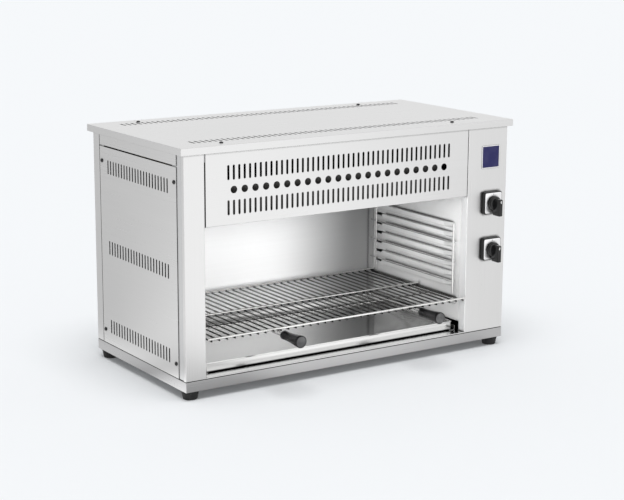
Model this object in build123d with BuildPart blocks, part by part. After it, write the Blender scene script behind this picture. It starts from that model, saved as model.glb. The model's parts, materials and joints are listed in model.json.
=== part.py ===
from build123d import *
import os

os.makedirs("parts", exist_ok=True)

# Cheese melter (salamander grill): a stainless casing on four feet, open at the front,
# with a wire shelf on two handles, a drip tray, tubular heaters under the ceiling and
# two rotary switches in a control column. Front faces -Y, up is +Z, all in millimetres.
# The origin is on the floor, under the middle of the casing.

# ---------------------------------------------------------------- driving dimensions
body_width = 780.0
body_depth = 382.0
foot_height = 18.0
base_height = 20.4
casing_height = 454.0

outer_sheet = 1.2
liner_sheet = 1.0
frame_sheet = 1.5
fold_radius = 0.9
seam_gap = 1.4

running_clearance = 0.05
slide_clearance = 0.3
screw_clearance = 0.2
touch_clearance = 0.1
weld_gap = 0.02

# cover
cover_side_overhang = 9.0
cover_front_overhang = 7.5
cover_rear_overhang = 10.0
cover_lip_height = 14.0
cover_hem = 5.0
cover_front_row_inset = 61.5
cover_rear_row_inset = 51.0
cover_slot_margin = 56.0
cover_slot_length = 27.0
cover_screw_inset = 29.0
cover_screw_left_inset = 94.0
cover_screw_right_inset = 132.0

# ventilation slots
slot_pitch = 12.0
slot_width = 4.8
slot_length = 29.0
front_slot_margin = 52.0
side_slot_margin = 35.0
side_row_count = 3
side_row_margin = 40.0
back_slot_margin = 212.0
round_hole_radius = 7.2
round_hole_pitch = 24.0
round_hole_margin = 62.0
upper_row_drop = 54.6
round_row_drop = 88.1
lower_row_drop = 122.4

# casing panels
pillar_width = 44.5
column_width = 103.0
inner_return = 20.0
pillar_side_return = 9.0
back_side_return = 27.0
pillar_gap = 2.5
column_gap = 2.0
vent_panel_drop = 155.8
vent_panel_return = 22.0
vent_panel_upturn = 8.0
side_panel_inset = 29.0
side_panel_drop = 40.4
side_panel_gap = 3.0
side_screw_inset = 38.0
side_screw_margin = 29.2
post_leg_side = 45.0
post_leg_front = 16.0
top_rail_height = 30.0
top_rail_depth = 30.0
back_screw_inset = 12.0
back_screw_margin = 42.0

# base and feet
base_flange = 36.0
foot_inset = 19.0
foot_bottom_radius = 14.4
foot_top_radius = 17.8
foot_counterbore_radius = 5.4
foot_counterbore_depth = 10.0

# screws
screw_radius = 2.0
screw_head_radius = 4.0
screw_head_height = 2.2
screw_length = 9.0

# cooking chamber
liner_bottom_height = 22.6
apron_bottom_gap = 2.0
floor_height = 3.0
floor_side_gap = 0.1
floor_front_relief = 3.0
ceiling_drop = 80.4
liner_rear_inset = 25.0
corner_return = 19.0
ledge_count = 7
ledge_pitch = 21.25
ledge_lowest_height = 107.4
ledge_depth = 11.0
ledge_thickness = 9.0
ledge_front_inset = 40.0
ledge_rear_inset = 69.0
ledge_taper = 24.0
ledge_slot_length = 12.0
ledge_slot_height = 6.0
guide_wire_radius = 1.7
guide_front_inset = 28.6
guide_rear_inset = 73.0
guide_wire_tail = 25.0
guide_wire_count = 3
guide_step = 2
guide_bottom_gap = 1.0
guide_top_margin = 10.0
insulation_thickness = 18.0
insulation_margin = 30.0

# heaters
heater_count = 4
heater_side_margin = 36.5
heater_leg_spacing = 36.0
heater_radius = 4.2
heater_drop = 24.0
heater_end_margin = 28.0
heater_cold_length = 22.0
terminal_radius = 1.9
terminal_length = 16.0
bush_radius = 7.0
bush_flange_radius = 9.5
bush_flange = 2.5
bush_length = 8.0
hanger_thickness = 2.0
hanger_spacing = 300.0
hanger_margin = 14.0

# wire shelf
shelf_side_margin = 8.0
shelf_rod_margin = 2.5
shelf_wire_count = 36
shelf_wire_radius = 1.6
shelf_rod_radius = 2.5
shelf_height = 75.6
shelf_front_reach = 4.0
shelf_rear_inset = 54.0
shelf_mid_from_front = 165.0
shelf_under_from_front = 102.0
shelf_under_radius = 2.0
shelf_wire_tuck = 2.0
shelf_wire_tail = 4.0
runner_width = 14.0
runner_leg = 14.0
runner_front_inset = 31.0

# shelf handles
left_handle_offset = 162.0
right_handle_offset = 174.0
stem_spacing = 11.0
stem_radius = 2.2
stem_free_length = 30.0
stem_grip_depth = 22.0
grip_length = 65.0
grip_rear_radius = 9.0
grip_front_radius = 12.5
grip_edge_radius = 2.5

# drip tray
tray_side_margin = 6.7
tray_front_inset = 22.0
tray_rear_inset = 51.0
tray_height = 19.2
tray_sheet = 1.0
tray_rim = 5.0
tray_runner_width = 12.0
tray_runner_height = 10.0
tray_side_play = 1.0

# rotary switches
switch_column_inset = 40.0
upper_switch_drop = 174.9
switch_spacing = 99.5
bezel_size = 48.0
bezel_depth = 8.5
bezel_corner = 5.0
plate_size = 45.5
plate_thickness = 1.0
plate_corner = 2.5
switch_body_size = 42.0
switch_body_depth = 40.0
shaft_radius = 3.0
shaft_in_body = 18.0
knob_gap = 0.5
knob_hub_radius = 15.0
knob_hub_height = 9.0
grip_bar_width = 9.0
grip_bar_length = 36.0
grip_bar_height = 16.0
grip_bar_offset = 7.5
grip_bar_rise = 3.0
index_length = 6.0
index_width = 1.6
index_depth = 0.5

# plate in the badge's place, terminals and cable gland
badge_width = 47.0
badge_height = 48.0
badge_drop = 77.0
badge_column_inset = 43.5
badge_thickness = 0.8
terminal_block_width = 44.0
terminal_block_depth = 22.0
terminal_block_height = 20.0
terminal_bracket_height = 12.0
terminal_inset = 70.0
gland_height = 60.0
gland_column_inset = 46.0
gland_flange_radius = 13.0
gland_flange_length = 5.0
gland_body_radius = 8.0
gland_dome_radius = 10.5
gland_dome_length = 15.0
gland_bore_radius = 4.5
gland_inner_length = 14.0
gland_nut_radius = 12.0
gland_nut_length = 5.0

# ---------------------------------------------------------------- planes worked out from them
left_x = -body_width / 2
right_x = body_width / 2
front_y = -body_depth / 2
back_y = body_depth / 2
base_bottom_z = foot_height
base_top_z = foot_height + base_height
cover_top_z = base_top_z + casing_height
shell_top_z = cover_top_z - outer_sheet
skin_bottom_z = base_top_z + seam_gap
lip_bottom_z = cover_top_z - cover_lip_height

cavity_left_x = left_x + pillar_width
cavity_right_x = right_x - column_width
cavity_centre_x = (cavity_left_x + cavity_right_x) / 2
cavity_width = cavity_right_x - cavity_left_x
vent_bottom_z = cover_top_z - vent_panel_drop
liner_front_y = front_y + inner_return
liner_back_y = back_y - liner_rear_inset
liner_bottom_z = base_top_z + liner_bottom_height
ceiling_z = cover_top_z - ceiling_drop
skin_y = front_y + outer_sheet
side_panel_top_z = cover_top_z - side_panel_drop
side_panel_width = body_depth - 2 * side_panel_inset

shelf_z = base_top_z + shelf_height
shelf_front_y = front_y - shelf_front_reach
shelf_rear_y = back_y - shelf_rear_inset
shelf_left_x = cavity_left_x + shelf_side_margin
shelf_right_x = cavity_right_x - shelf_side_margin
shelf_rod_z = shelf_z + shelf_wire_radius + shelf_rod_radius
shelf_rod_left_x = cavity_left_x + shelf_rod_margin
shelf_rod_right_x = cavity_right_x - shelf_rod_margin
runner_top_z = shelf_z - shelf_wire_radius - slide_clearance

floor_top_z = base_top_z + floor_height
floor_rear_y = liner_back_y - corner_return
tray_bottom_z = floor_top_z + outer_sheet + slide_clearance
tray_left_x = cavity_left_x + tray_side_margin
tray_right_x = cavity_right_x - tray_side_margin
tray_front_y = front_y + tray_front_inset
tray_rear_y = back_y - tray_rear_inset

switch_x = right_x - switch_column_inset
upper_switch_z = cover_top_z - upper_switch_drop
lower_switch_z = upper_switch_z - switch_spacing
plate_front_y = front_y - bezel_depth - plate_thickness
knob_rear_y = plate_front_y - knob_gap

heater_z = ceiling_z - heater_drop
heater_left_x = cavity_left_x + heater_end_margin
heater_right_x = cavity_right_x + heater_cold_length
heater_middle_y = (liner_front_y + liner_back_y) / 2
heater_span = liner_back_y - liner_front_y - 2 * heater_side_margin
heater_pitch = (heater_span - heater_leg_spacing) / (heater_count - 1)

gland_x = right_x - gland_column_inset
gland_z = base_top_z + gland_height


def block(x0, x1, y0, y1, z0, z1, mode=Mode.ADD):
    """A box between two opposite corners."""
    with Locations(((x0 + x1) / 2, (y0 + y1) / 2, (z0 + z1) / 2)):
        Box(x1 - x0, y1 - y0, z1 - z0, mode=mode)


def rod_y(x, z, y0, y1, radius, mode=Mode.ADD):
    """A round rod along Y."""
    with Locations(Location((x, (y0 + y1) / 2, z), (90, 0, 0))):
        Cylinder(radius, y1 - y0, mode=mode)


def rod_x(y, z, x0, x1, radius, mode=Mode.ADD):
    """A round rod along X."""
    with Locations(Location(((x0 + x1) / 2, y, z), (0, 90, 0))):
        Cylinder(radius, x1 - x0, mode=mode)


def rod_z(x, y, z0, z1, radius, mode=Mode.ADD):
    """A round rod along Z."""
    with Locations((x, y, (z0 + z1) / 2)):
        Cylinder(radius, z1 - z0, mode=mode)


def row_count(width, margin, pitch):
    """How many holes of a row fit between two margins."""
    return int((width - 2 * margin) / pitch) + 1


# ---------------------------------------------------------------- base and feet
foot_points = [
    (sx * (right_x - foot_inset), sy * (back_y - foot_inset)) for sx in (-1, 1) for sy in (-1, 1)
]

with BuildPart() as base_pan:
    block(left_x, right_x, front_y, back_y, base_bottom_z, base_top_z)
    fillet(base_pan.edges().filter_by(Axis.Z), fold_radius)
    fillet(base_pan.faces().sort_by(Axis.Z)[-1].edges(), fold_radius)
    block(
        left_x + frame_sheet, right_x - frame_sheet, front_y + frame_sheet, back_y - frame_sheet,
        base_bottom_z + frame_sheet, base_top_z - frame_sheet, mode=Mode.SUBTRACT,
    )
    block(
        left_x + base_flange, right_x - base_flange, front_y + base_flange, back_y - base_flange,
        base_bottom_z, base_bottom_z + frame_sheet, mode=Mode.SUBTRACT,
    )
    for foot_x, foot_y in foot_points:
        rod_z(
            foot_x, foot_y, base_bottom_z, base_bottom_z + frame_sheet,
            screw_radius + screw_clearance, mode=Mode.SUBTRACT,
        )
base_pan.part.label = "base_pan"
export_step(base_pan.part, "parts/base_pan.step")

foot_names = ["foot_front_left", "foot_rear_left", "foot_front_right", "foot_rear_right"]
for foot_name, (foot_x, foot_y) in zip(foot_names, foot_points):
    with BuildPart() as foot:
        with BuildSketch(Plane.XY):
            with Locations((foot_x, foot_y)):
                Circle(foot_bottom_radius)
        with BuildSketch(Plane.XY.offset(foot_height)):
            with Locations((foot_x, foot_y)):
                Circle(foot_top_radius)
        loft()
        rod_z(foot_x, foot_y, 0, foot_height, screw_radius + screw_clearance, mode=Mode.SUBTRACT)
        rod_z(foot_x, foot_y, 0, foot_counterbore_depth, foot_counterbore_radius, mode=Mode.SUBTRACT)
    foot.part.label = foot_name
    export_step(foot.part, f"parts/{foot_name}.step")

with BuildPart() as foot_screws:
    for foot_x, foot_y in foot_points:
        rod_z(
            foot_x, foot_y, foot_counterbore_depth, base_bottom_z + frame_sheet + screw_radius,
            screw_radius,
        )
        rod_z(
            foot_x, foot_y, foot_counterbore_depth - screw_head_height, foot_counterbore_depth,
            screw_head_radius,
        )
foot_screws.part.label = "foot_screws"
export_step(foot_screws.part, "parts/foot_screws.step")

# ---------------------------------------------------------------- inner frame
side_screw_y = back_y - side_screw_inset
side_screw_zs = [base_top_z + side_screw_margin, side_panel_top_z - side_screw_margin]
back_screw_x = right_x - back_screw_inset
back_screw_low_z = base_top_z + back_screw_margin
back_screw_high_z = lip_bottom_z - back_screw_margin
back_screw_zs = [back_screw_low_z, (back_screw_low_z + back_screw_high_z) / 2, back_screw_high_z]
cover_screw_points = [
    (screw_x, screw_y)
    for screw_x in (left_x + cover_screw_left_inset, right_x - cover_screw_right_inset)
    for screw_y in (
        front_y - cover_front_overhang + cover_screw_inset,
        back_y + cover_rear_overhang - cover_screw_inset,
    )
]

for post_name, side, end in (
    ("post_front_left", -1, -1),
    ("post_front_right", 1, -1),
    ("post_rear_left", -1, 1),
    ("post_rear_right", 1, 1),
):
    corner_x = side * (right_x - outer_sheet)
    corner_y = end * (back_y - outer_sheet)
    with BuildPart() as post:
        with BuildSketch(Plane.XY.offset(base_top_z)):
            with Locations((corner_x - side * frame_sheet / 2, corner_y - end * post_leg_side / 2)):
                Rectangle(frame_sheet, post_leg_side)
            with Locations((corner_x - side * post_leg_front / 2, corner_y - end * frame_sheet / 2)):
                Rectangle(post_leg_front, frame_sheet)
        extrude(amount=shell_top_z - base_top_z)
        for screw_z in side_screw_zs:
            rod_x(
                end * side_screw_y, screw_z, min(0, side) * right_x, max(0, side) * right_x,
                screw_radius + touch_clearance, mode=Mode.SUBTRACT,
            )
        if end > 0:
            for screw_z in back_screw_zs:
                rod_y(
                    side * back_screw_x, screw_z, 0, back_y,
                    screw_radius + touch_clearance, mode=Mode.SUBTRACT,
                )
    post.part.label = post_name
    export_step(post.part, f"parts/{post_name}.step")

rail_end_x = right_x - outer_sheet - post_leg_front
for rail_name, end in (("front_top_rail", -1), ("rear_top_rail", 1)):
    web_y = end * (back_y - outer_sheet)
    with BuildPart() as rail:
        with BuildSketch(Plane.YZ.offset(-rail_end_x)):
            with Locations((web_y - end * frame_sheet / 2, shell_top_z - top_rail_height / 2)):
                Rectangle(frame_sheet, top_rail_height)
            with Locations((web_y - end * top_rail_depth / 2, shell_top_z - frame_sheet / 2)):
                Rectangle(top_rail_depth, frame_sheet)
        extrude(amount=2 * rail_end_x)
        for screw_x, screw_y in cover_screw_points:
            rod_z(
                screw_x, screw_y, lip_bottom_z, cover_top_z,
                screw_radius + touch_clearance, mode=Mode.SUBTRACT,
            )
    rail.part.label = rail_name
    export_step(rail.part, f"parts/{rail_name}.step")

# ---------------------------------------------------------------- front of the casing
with BuildPart() as left_pillar:
    block(left_x, cavity_left_x, front_y, skin_y, skin_bottom_z, shell_top_z)
    block(left_x, left_x + outer_sheet, front_y, front_y + pillar_side_return, skin_bottom_z, shell_top_z)
    block(
        cavity_left_x - outer_sheet, cavity_left_x, front_y, liner_front_y,
        skin_bottom_z, ceiling_z,
    )
    fillet(
        left_pillar.edges().filter_by(Axis.Z).filter_by_position(Axis.Y, front_y, front_y),
        fold_radius,
    )
left_pillar.part.label = "left_pillar"
export_step(left_pillar.part, "parts/left_pillar.step")

with BuildPart() as control_column:
    block(cavity_right_x, right_x, front_y, skin_y, skin_bottom_z, shell_top_z)
    block(
        right_x - outer_sheet, right_x, front_y, front_y + pillar_side_return,
        skin_bottom_z, shell_top_z,
    )
    block(
        cavity_right_x, cavity_right_x + outer_sheet, front_y, liner_front_y,
        skin_bottom_z, ceiling_z,
    )
    fillet(
        control_column.edges().filter_by(Axis.Z).filter_by_position(Axis.Y, front_y, front_y),
        fold_radius,
    )
    for switch_z in (upper_switch_z, lower_switch_z):
        rod_y(
            switch_x, switch_z, front_y, skin_y, shaft_radius + running_clearance,
            mode=Mode.SUBTRACT,
        )
control_column.part.label = "control_column"
export_step(control_column.part, "parts/control_column.step")

with BuildPart() as front_vent_panel:
    panel_left_x = cavity_left_x + pillar_gap
    panel_right_x = cavity_right_x - column_gap
    block(panel_left_x, panel_right_x, front_y, skin_y, vent_bottom_z, shell_top_z)
    block(
        panel_left_x, panel_right_x, front_y, front_y + vent_panel_return,
        vent_bottom_z, vent_bottom_z + outer_sheet,
    )
    block(
        panel_left_x, panel_right_x,
        front_y + vent_panel_return - outer_sheet, front_y + vent_panel_return,
        vent_bottom_z, vent_bottom_z + vent_panel_upturn,
    )
    fillet(
        front_vent_panel.edges().filter_by(Axis.X)
        .filter_by_position(Axis.Y, front_y, front_y).sort_by(Axis.Z)[0],
        fold_radius,
    )
    front_slot_count = row_count(cavity_width, front_slot_margin, slot_pitch)
    round_hole_count = row_count(cavity_width, round_hole_margin, round_hole_pitch)
    with BuildSketch(Plane.XZ.offset(-front_y)):
        for row_drop in (upper_row_drop, lower_row_drop):
            with Locations((cavity_centre_x, cover_top_z - row_drop)):
                with GridLocations(slot_pitch, slot_length, front_slot_count, 1):
                    SlotOverall(slot_length, slot_width, rotation=90)
        with Locations((cavity_centre_x, cover_top_z - round_row_drop)):
            with GridLocations(round_hole_pitch, slot_length, round_hole_count, 1):
                Circle(round_hole_radius)
    extrude(amount=-outer_sheet, mode=Mode.SUBTRACT)
front_vent_panel.part.label = "front_vent_panel"
export_step(front_vent_panel.part, "parts/front_vent_panel.step")

with BuildPart() as badge_plate:
    with BuildSketch(Plane.XZ.offset(-front_y)):
        with Locations((right_x - badge_column_inset, cover_top_z - badge_drop)):
            RectangleRounded(badge_width, badge_height, bezel_corner)
    extrude(amount=badge_thickness)
badge_plate.part.label = "badge_plate"
export_step(badge_plate.part, "parts/badge_plate.step")

# ---------------------------------------------------------------- sides and back
side_slot_count = row_count(side_panel_width, side_slot_margin, slot_pitch)
side_rows_height = side_panel_top_z - base_top_z - 2 * side_row_margin
side_row_pitch = side_rows_height / (side_row_count - 1)

for panel_name, side in (("left_side_panel", -1), ("right_side_panel", 1)):
    with BuildPart() as side_panel:
        with BuildSketch(Plane.YZ.offset(side * right_x)):
            with Locations((0, (skin_bottom_z + side_panel_top_z) / 2)):
                Rectangle(side_panel_width, side_panel_top_z - skin_bottom_z)
            with Locations((0, (base_top_z + side_panel_top_z) / 2)):
                with GridLocations(slot_pitch, side_row_pitch, side_slot_count, side_row_count):
                    SlotOverall(slot_length, slot_width, rotation=90, mode=Mode.SUBTRACT)
            for screw_z in side_screw_zs:
                with Locations((-side_screw_y, screw_z), (side_screw_y, screw_z)):
                    Circle(screw_radius + screw_clearance, mode=Mode.SUBTRACT)
        extrude(amount=-side * outer_sheet)
    side_panel.part.label = panel_name
    export_step(side_panel.part, f"parts/{panel_name}.step")

strip_bottom_z = side_panel_top_z + side_panel_gap
for strip_name, side in (("left_top_strip", -1), ("right_top_strip", 1)):
    with BuildPart() as top_strip:
        with BuildSketch(Plane.YZ.offset(side * right_x)):
            with Locations((0, (strip_bottom_z + shell_top_z) / 2)):
                Rectangle(side_panel_width, shell_top_z - strip_bottom_z)
        extrude(amount=-side * outer_sheet)
    top_strip.part.label = strip_name
    export_step(top_strip.part, f"parts/{strip_name}.step")

with BuildPart() as back_panel:
    block(left_x, right_x, back_y - outer_sheet, back_y, skin_bottom_z, shell_top_z)
    block(left_x, left_x + outer_sheet, back_y - back_side_return, back_y, skin_bottom_z, shell_top_z)
    block(right_x - outer_sheet, right_x, back_y - back_side_return, back_y, skin_bottom_z, shell_top_z)
    fillet(
        back_panel.edges().filter_by(Axis.Z).filter_by_position(Axis.Y, back_y, back_y),
        fold_radius,
    )
    with BuildSketch(Plane.XZ.offset(-back_y)):
        with Locations((0, cover_top_z - upper_row_drop)):
            with GridLocations(
                slot_pitch, slot_length, row_count(body_width, back_slot_margin, slot_pitch), 1
            ):
                SlotOverall(slot_length, slot_width, rotation=90)
        for screw_z in back_screw_zs:
            with Locations((-back_screw_x, screw_z), (back_screw_x, screw_z)):
                Circle(screw_radius + screw_clearance)
        with Locations((gland_x, gland_z)):
            Circle(gland_body_radius + touch_clearance)
    extrude(amount=outer_sheet, mode=Mode.SUBTRACT)
back_panel.part.label = "back_panel"
export_step(back_panel.part, "parts/back_panel.step")

# ---------------------------------------------------------------- cover
cover_left_x = left_x - cover_side_overhang
cover_right_x = right_x + cover_side_overhang
cover_front_y = front_y - cover_front_overhang
cover_back_y = back_y + cover_rear_overhang

cover_slot_count = row_count(cover_right_x - cover_left_x, cover_slot_margin, slot_pitch)

with BuildPart() as top_cover:
    block(cover_left_x, cover_right_x, cover_front_y, cover_back_y, lip_bottom_z, cover_top_z)
    fillet(top_cover.edges().filter_by(Axis.Z), fold_radius)
    fillet(top_cover.faces().sort_by(Axis.Z)[-1].edges(), fold_radius)
    block(
        cover_left_x + outer_sheet, cover_right_x - outer_sheet,
        cover_front_y + outer_sheet, cover_back_y - outer_sheet,
        lip_bottom_z + outer_sheet, shell_top_z, mode=Mode.SUBTRACT,
    )
    block(
        cover_left_x + cover_hem, cover_right_x - cover_hem,
        cover_front_y + cover_hem, cover_back_y - cover_hem,
        lip_bottom_z, lip_bottom_z + outer_sheet, mode=Mode.SUBTRACT,
    )
    with BuildSketch(Plane.XY.offset(cover_top_z)):
        for row_y in (cover_front_y + cover_front_row_inset, cover_back_y - cover_rear_row_inset):
            with Locations((0, row_y)):
                with GridLocations(slot_pitch, slot_length, cover_slot_count, 1):
                    SlotOverall(cover_slot_length, slot_width, rotation=90)
        with Locations(*cover_screw_points):
            Circle(screw_radius + screw_clearance)
    extrude(amount=-outer_sheet, mode=Mode.SUBTRACT)
top_cover.part.label = "top_cover"
export_step(top_cover.part, "parts/top_cover.step")

# ---------------------------------------------------------------- screws of the casing
with BuildPart() as casing_screws:
    for screw_x, screw_y in cover_screw_points:
        rod_z(screw_x, screw_y, cover_top_z - screw_length, cover_top_z, screw_radius)
        rod_z(screw_x, screw_y, cover_top_z, cover_top_z + screw_head_height, screw_head_radius)
    for side in (-1, 1):
        shank_x = sorted((side * right_x, side * (right_x - screw_length)))
        head_x = sorted((side * right_x, side * (right_x + screw_head_height)))
        for screw_z in side_screw_zs:
            for screw_y in (-side_screw_y, side_screw_y):
                rod_x(screw_y, screw_z, shank_x[0], shank_x[1], screw_radius)
                rod_x(screw_y, screw_z, head_x[0], head_x[1], screw_head_radius)
        for screw_z in back_screw_zs:
            rod_y(side * back_screw_x, screw_z, back_y - screw_length, back_y, screw_radius)
            rod_y(side * back_screw_x, screw_z, back_y, back_y + screw_head_height, screw_head_radius)
casing_screws.part.label = "casing_screws"
export_step(casing_screws.part, "parts/casing_screws.step")

# ---------------------------------------------------------------- cooking chamber
ledge_front_y = front_y + ledge_front_inset
ledge_rear_y = back_y - ledge_rear_inset
ledge_tops = [
    base_top_z + ledge_lowest_height + step * ledge_pitch for step in range(ledge_count)
]
heater_leg_ys = [
    heater_middle_y + (step - (heater_count - 1) / 2) * heater_pitch + leg * heater_leg_spacing / 2
    for step in range(heater_count)
    for leg in (-1, 1)
]


def ledge_outline(wall_x, inward, depth, rear_cut):
    """Plan view of one pressed ledge, with its slanting front end."""
    Polygon(
        (wall_x, ledge_front_y),
        (wall_x + inward * depth, ledge_front_y + ledge_taper),
        (wall_x + inward * depth, ledge_rear_y - rear_cut),
        (wall_x, ledge_rear_y - rear_cut),
        align=None,
    )


for liner_name, wall_x, inward in (
    ("left_liner", cavity_left_x, 1),
    ("right_liner", cavity_right_x, -1),
):
    outer_x = wall_x - inward * liner_sheet
    with BuildPart() as side_liner:
        block(
            min(wall_x, outer_x), max(wall_x, outer_x), liner_front_y, liner_back_y,
            liner_bottom_z, ceiling_z,
        )
        for ledge_top in ledge_tops:
            with BuildSketch(Plane.XY.offset(ledge_top - ledge_thickness)):
                ledge_outline(wall_x, inward, ledge_depth, 0)
            extrude(amount=ledge_thickness)
        for ledge_top in ledge_tops:
            with BuildSketch(Plane.XY.offset(ledge_top - ledge_thickness + liner_sheet)):
                ledge_outline(outer_x, inward, ledge_depth, liner_sheet)
            extrude(amount=ledge_thickness - 2 * liner_sheet, mode=Mode.SUBTRACT)
            slot_middle_z = ledge_top - ledge_thickness / 2
            block(
                min(wall_x, outer_x), max(wall_x, outer_x),
                ledge_rear_y, ledge_rear_y + ledge_slot_length,
                slot_middle_z - ledge_slot_height / 2, slot_middle_z + ledge_slot_height / 2,
                mode=Mode.SUBTRACT,
            )
        if inward < 0:
            for leg_y in heater_leg_ys:
                rod_x(
                    leg_y, heater_z, wall_x, outer_x, bush_radius + touch_clearance,
                    mode=Mode.SUBTRACT,
                )
    side_liner.part.label = liner_name
    export_step(side_liner.part, f"parts/{liner_name}.step")

with BuildPart() as chamber_floor:
    block(
        cavity_left_x + floor_side_gap, cavity_right_x - floor_side_gap,
        front_y, floor_rear_y - touch_clearance, base_top_z, floor_top_z,
    )
    fillet(chamber_floor.faces().sort_by(Axis.Z)[-1].edges().sort_by(Axis.Y)[0], fold_radius)
    block(
        cavity_left_x + floor_side_gap + outer_sheet, cavity_right_x - floor_side_gap - outer_sheet,
        front_y + outer_sheet, floor_rear_y - touch_clearance - outer_sheet,
        base_top_z, floor_top_z - outer_sheet, mode=Mode.SUBTRACT,
    )
    block(
        cavity_left_x, cavity_right_x, front_y, front_y + floor_front_relief,
        base_top_z, skin_bottom_z, mode=Mode.SUBTRACT,
    )
chamber_floor.part.label = "chamber_floor"
export_step(chamber_floor.part, "parts/chamber_floor.step")

with BuildPart() as back_liner:
    block(
        cavity_left_x - liner_sheet, cavity_right_x + liner_sheet,
        liner_back_y, liner_back_y + liner_sheet, base_top_z, ceiling_z,
    )
    block(
        cavity_left_x, cavity_left_x + liner_sheet,
        liner_back_y - corner_return, liner_back_y, base_top_z, ceiling_z,
    )
    block(
        cavity_right_x - liner_sheet, cavity_right_x,
        liner_back_y - corner_return, liner_back_y, base_top_z, ceiling_z,
    )
back_liner.part.label = "back_liner"
export_step(back_liner.part, "parts/back_liner.step")

with BuildPart() as ceiling_reflector:
    block(
        cavity_left_x - liner_sheet, cavity_right_x + liner_sheet,
        liner_front_y, liner_back_y + liner_sheet, ceiling_z, ceiling_z + liner_sheet,
    )
    block(
        cavity_left_x + floor_side_gap, cavity_right_x - floor_side_gap,
        liner_front_y - liner_sheet, liner_front_y,
        vent_bottom_z + outer_sheet + apron_bottom_gap, ceiling_z + liner_sheet,
    )
ceiling_reflector.part.label = "ceiling_reflector"
export_step(ceiling_reflector.part, "parts/ceiling_reflector.step")

with BuildPart() as ceiling_insulation:
    block(
        cavity_left_x + insulation_margin, cavity_right_x - insulation_margin,
        liner_front_y + insulation_margin, liner_back_y - insulation_margin,
        ceiling_z + liner_sheet, ceiling_z + liner_sheet + insulation_thickness,
    )
ceiling_insulation.part.label = "ceiling_insulation"
export_step(ceiling_insulation.part, "parts/ceiling_insulation.step")

guide_wire_gap = ledge_depth + touch_clearance + guide_wire_radius
guide_front_y = front_y + guide_front_inset
guide_rear_y = back_y - guide_rear_inset
guide_bottom_z = shelf_rod_z + shelf_rod_radius + guide_bottom_gap
for guide_name, wall_x, inward in (
    ("left_wire_guide", cavity_left_x, 1),
    ("right_wire_guide", cavity_right_x, -1),
):
    guide_x = wall_x + inward * guide_wire_gap
    with BuildPart() as wire_guide:
        rod_z(
            guide_x, guide_front_y, guide_bottom_z,
            ledge_tops[-1] + guide_wire_radius, guide_wire_radius,
        )
        rod_z(
            guide_x, guide_rear_y, guide_bottom_z,
            ceiling_z - guide_top_margin, guide_wire_radius,
        )
        for level in range(guide_wire_count):
            rod_y(
                wall_x + inward * (ledge_depth - guide_wire_radius),
                ledge_tops[level * guide_step] + guide_wire_radius + weld_gap,
                guide_front_y, guide_rear_y + guide_wire_tail, guide_wire_radius,
            )
    wire_guide.part.label = guide_name
    export_step(wire_guide.part, f"parts/{guide_name}.step")

for runner_name, wall_x, inward in (
    ("left_shelf_runner", cavity_left_x, 1),
    ("right_shelf_runner", cavity_right_x, -1),
):
    lip_x = wall_x + inward * runner_width
    leg_x = wall_x + inward * outer_sheet
    with BuildPart() as shelf_runner:
        block(
            min(wall_x, lip_x), max(wall_x, lip_x), front_y + runner_front_inset,
            liner_back_y - corner_return, runner_top_z - outer_sheet, runner_top_z,
        )
        block(
            min(wall_x, leg_x), max(wall_x, leg_x), front_y + runner_front_inset,
            liner_back_y - corner_return, runner_top_z - runner_leg, runner_top_z,
        )
    shelf_runner.part.label = runner_name
    export_step(shelf_runner.part, f"parts/{runner_name}.step")

# ---------------------------------------------------------------- heaters
for heater_index in range(heater_count):
    front_leg_y = heater_leg_ys[2 * heater_index]
    rear_leg_y = heater_leg_ys[2 * heater_index + 1]
    bend_x = heater_left_x + heater_leg_spacing / 2
    heater_name = f"heater_{heater_index + 1}"
    with BuildPart() as heater:
        with BuildLine() as heater_path:
            Line((heater_right_x, front_leg_y, heater_z), (bend_x, front_leg_y, heater_z))
            ThreePointArc(
                (bend_x, front_leg_y, heater_z),
                (heater_left_x, (front_leg_y + rear_leg_y) / 2, heater_z),
                (bend_x, rear_leg_y, heater_z),
            )
            Line((bend_x, rear_leg_y, heater_z), (heater_right_x, rear_leg_y, heater_z))
        with BuildSketch(Plane.YZ.offset(heater_right_x)):
            with Locations((front_leg_y, heater_z)):
                Circle(heater_radius)
        sweep(path=heater_path.wires()[0])
        for leg_y in (front_leg_y, rear_leg_y):
            rod_x(leg_y, heater_z, heater_right_x, heater_right_x + terminal_length, terminal_radius)
    heater.part.label = heater_name
    export_step(heater.part, f"parts/{heater_name}.step")

with BuildPart() as heater_bushes:
    for leg_y in heater_leg_ys:
        rod_x(leg_y, heater_z, cavity_right_x, cavity_right_x + bush_length, bush_radius)
        rod_x(leg_y, heater_z, cavity_right_x - bush_flange, cavity_right_x, bush_flange_radius)
        rod_x(
            leg_y, heater_z, cavity_right_x - bush_flange, cavity_right_x + bush_length,
            heater_radius + touch_clearance, mode=Mode.SUBTRACT,
        )
heater_bushes.part.label = "heater_bushes"
export_step(heater_bushes.part, "parts/heater_bushes.step")

with BuildPart() as heater_hangers:
    for side in (-1, 1):
        hanger_x = cavity_centre_x + side * hanger_spacing / 2
        block(
            hanger_x - hanger_thickness / 2, hanger_x + hanger_thickness / 2,
            heater_leg_ys[0] - hanger_margin, heater_leg_ys[-1] + hanger_margin,
            heater_z - heater_radius - hanger_margin / 2, ceiling_z,
        )
        for leg_y in heater_leg_ys:
            rod_x(
                leg_y, heater_z, hanger_x - hanger_thickness, hanger_x + hanger_thickness,
                heater_radius + touch_clearance, mode=Mode.SUBTRACT,
            )
heater_hangers.part.label = "heater_hangers"
export_step(heater_hangers.part, "parts/heater_hangers.step")

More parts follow.
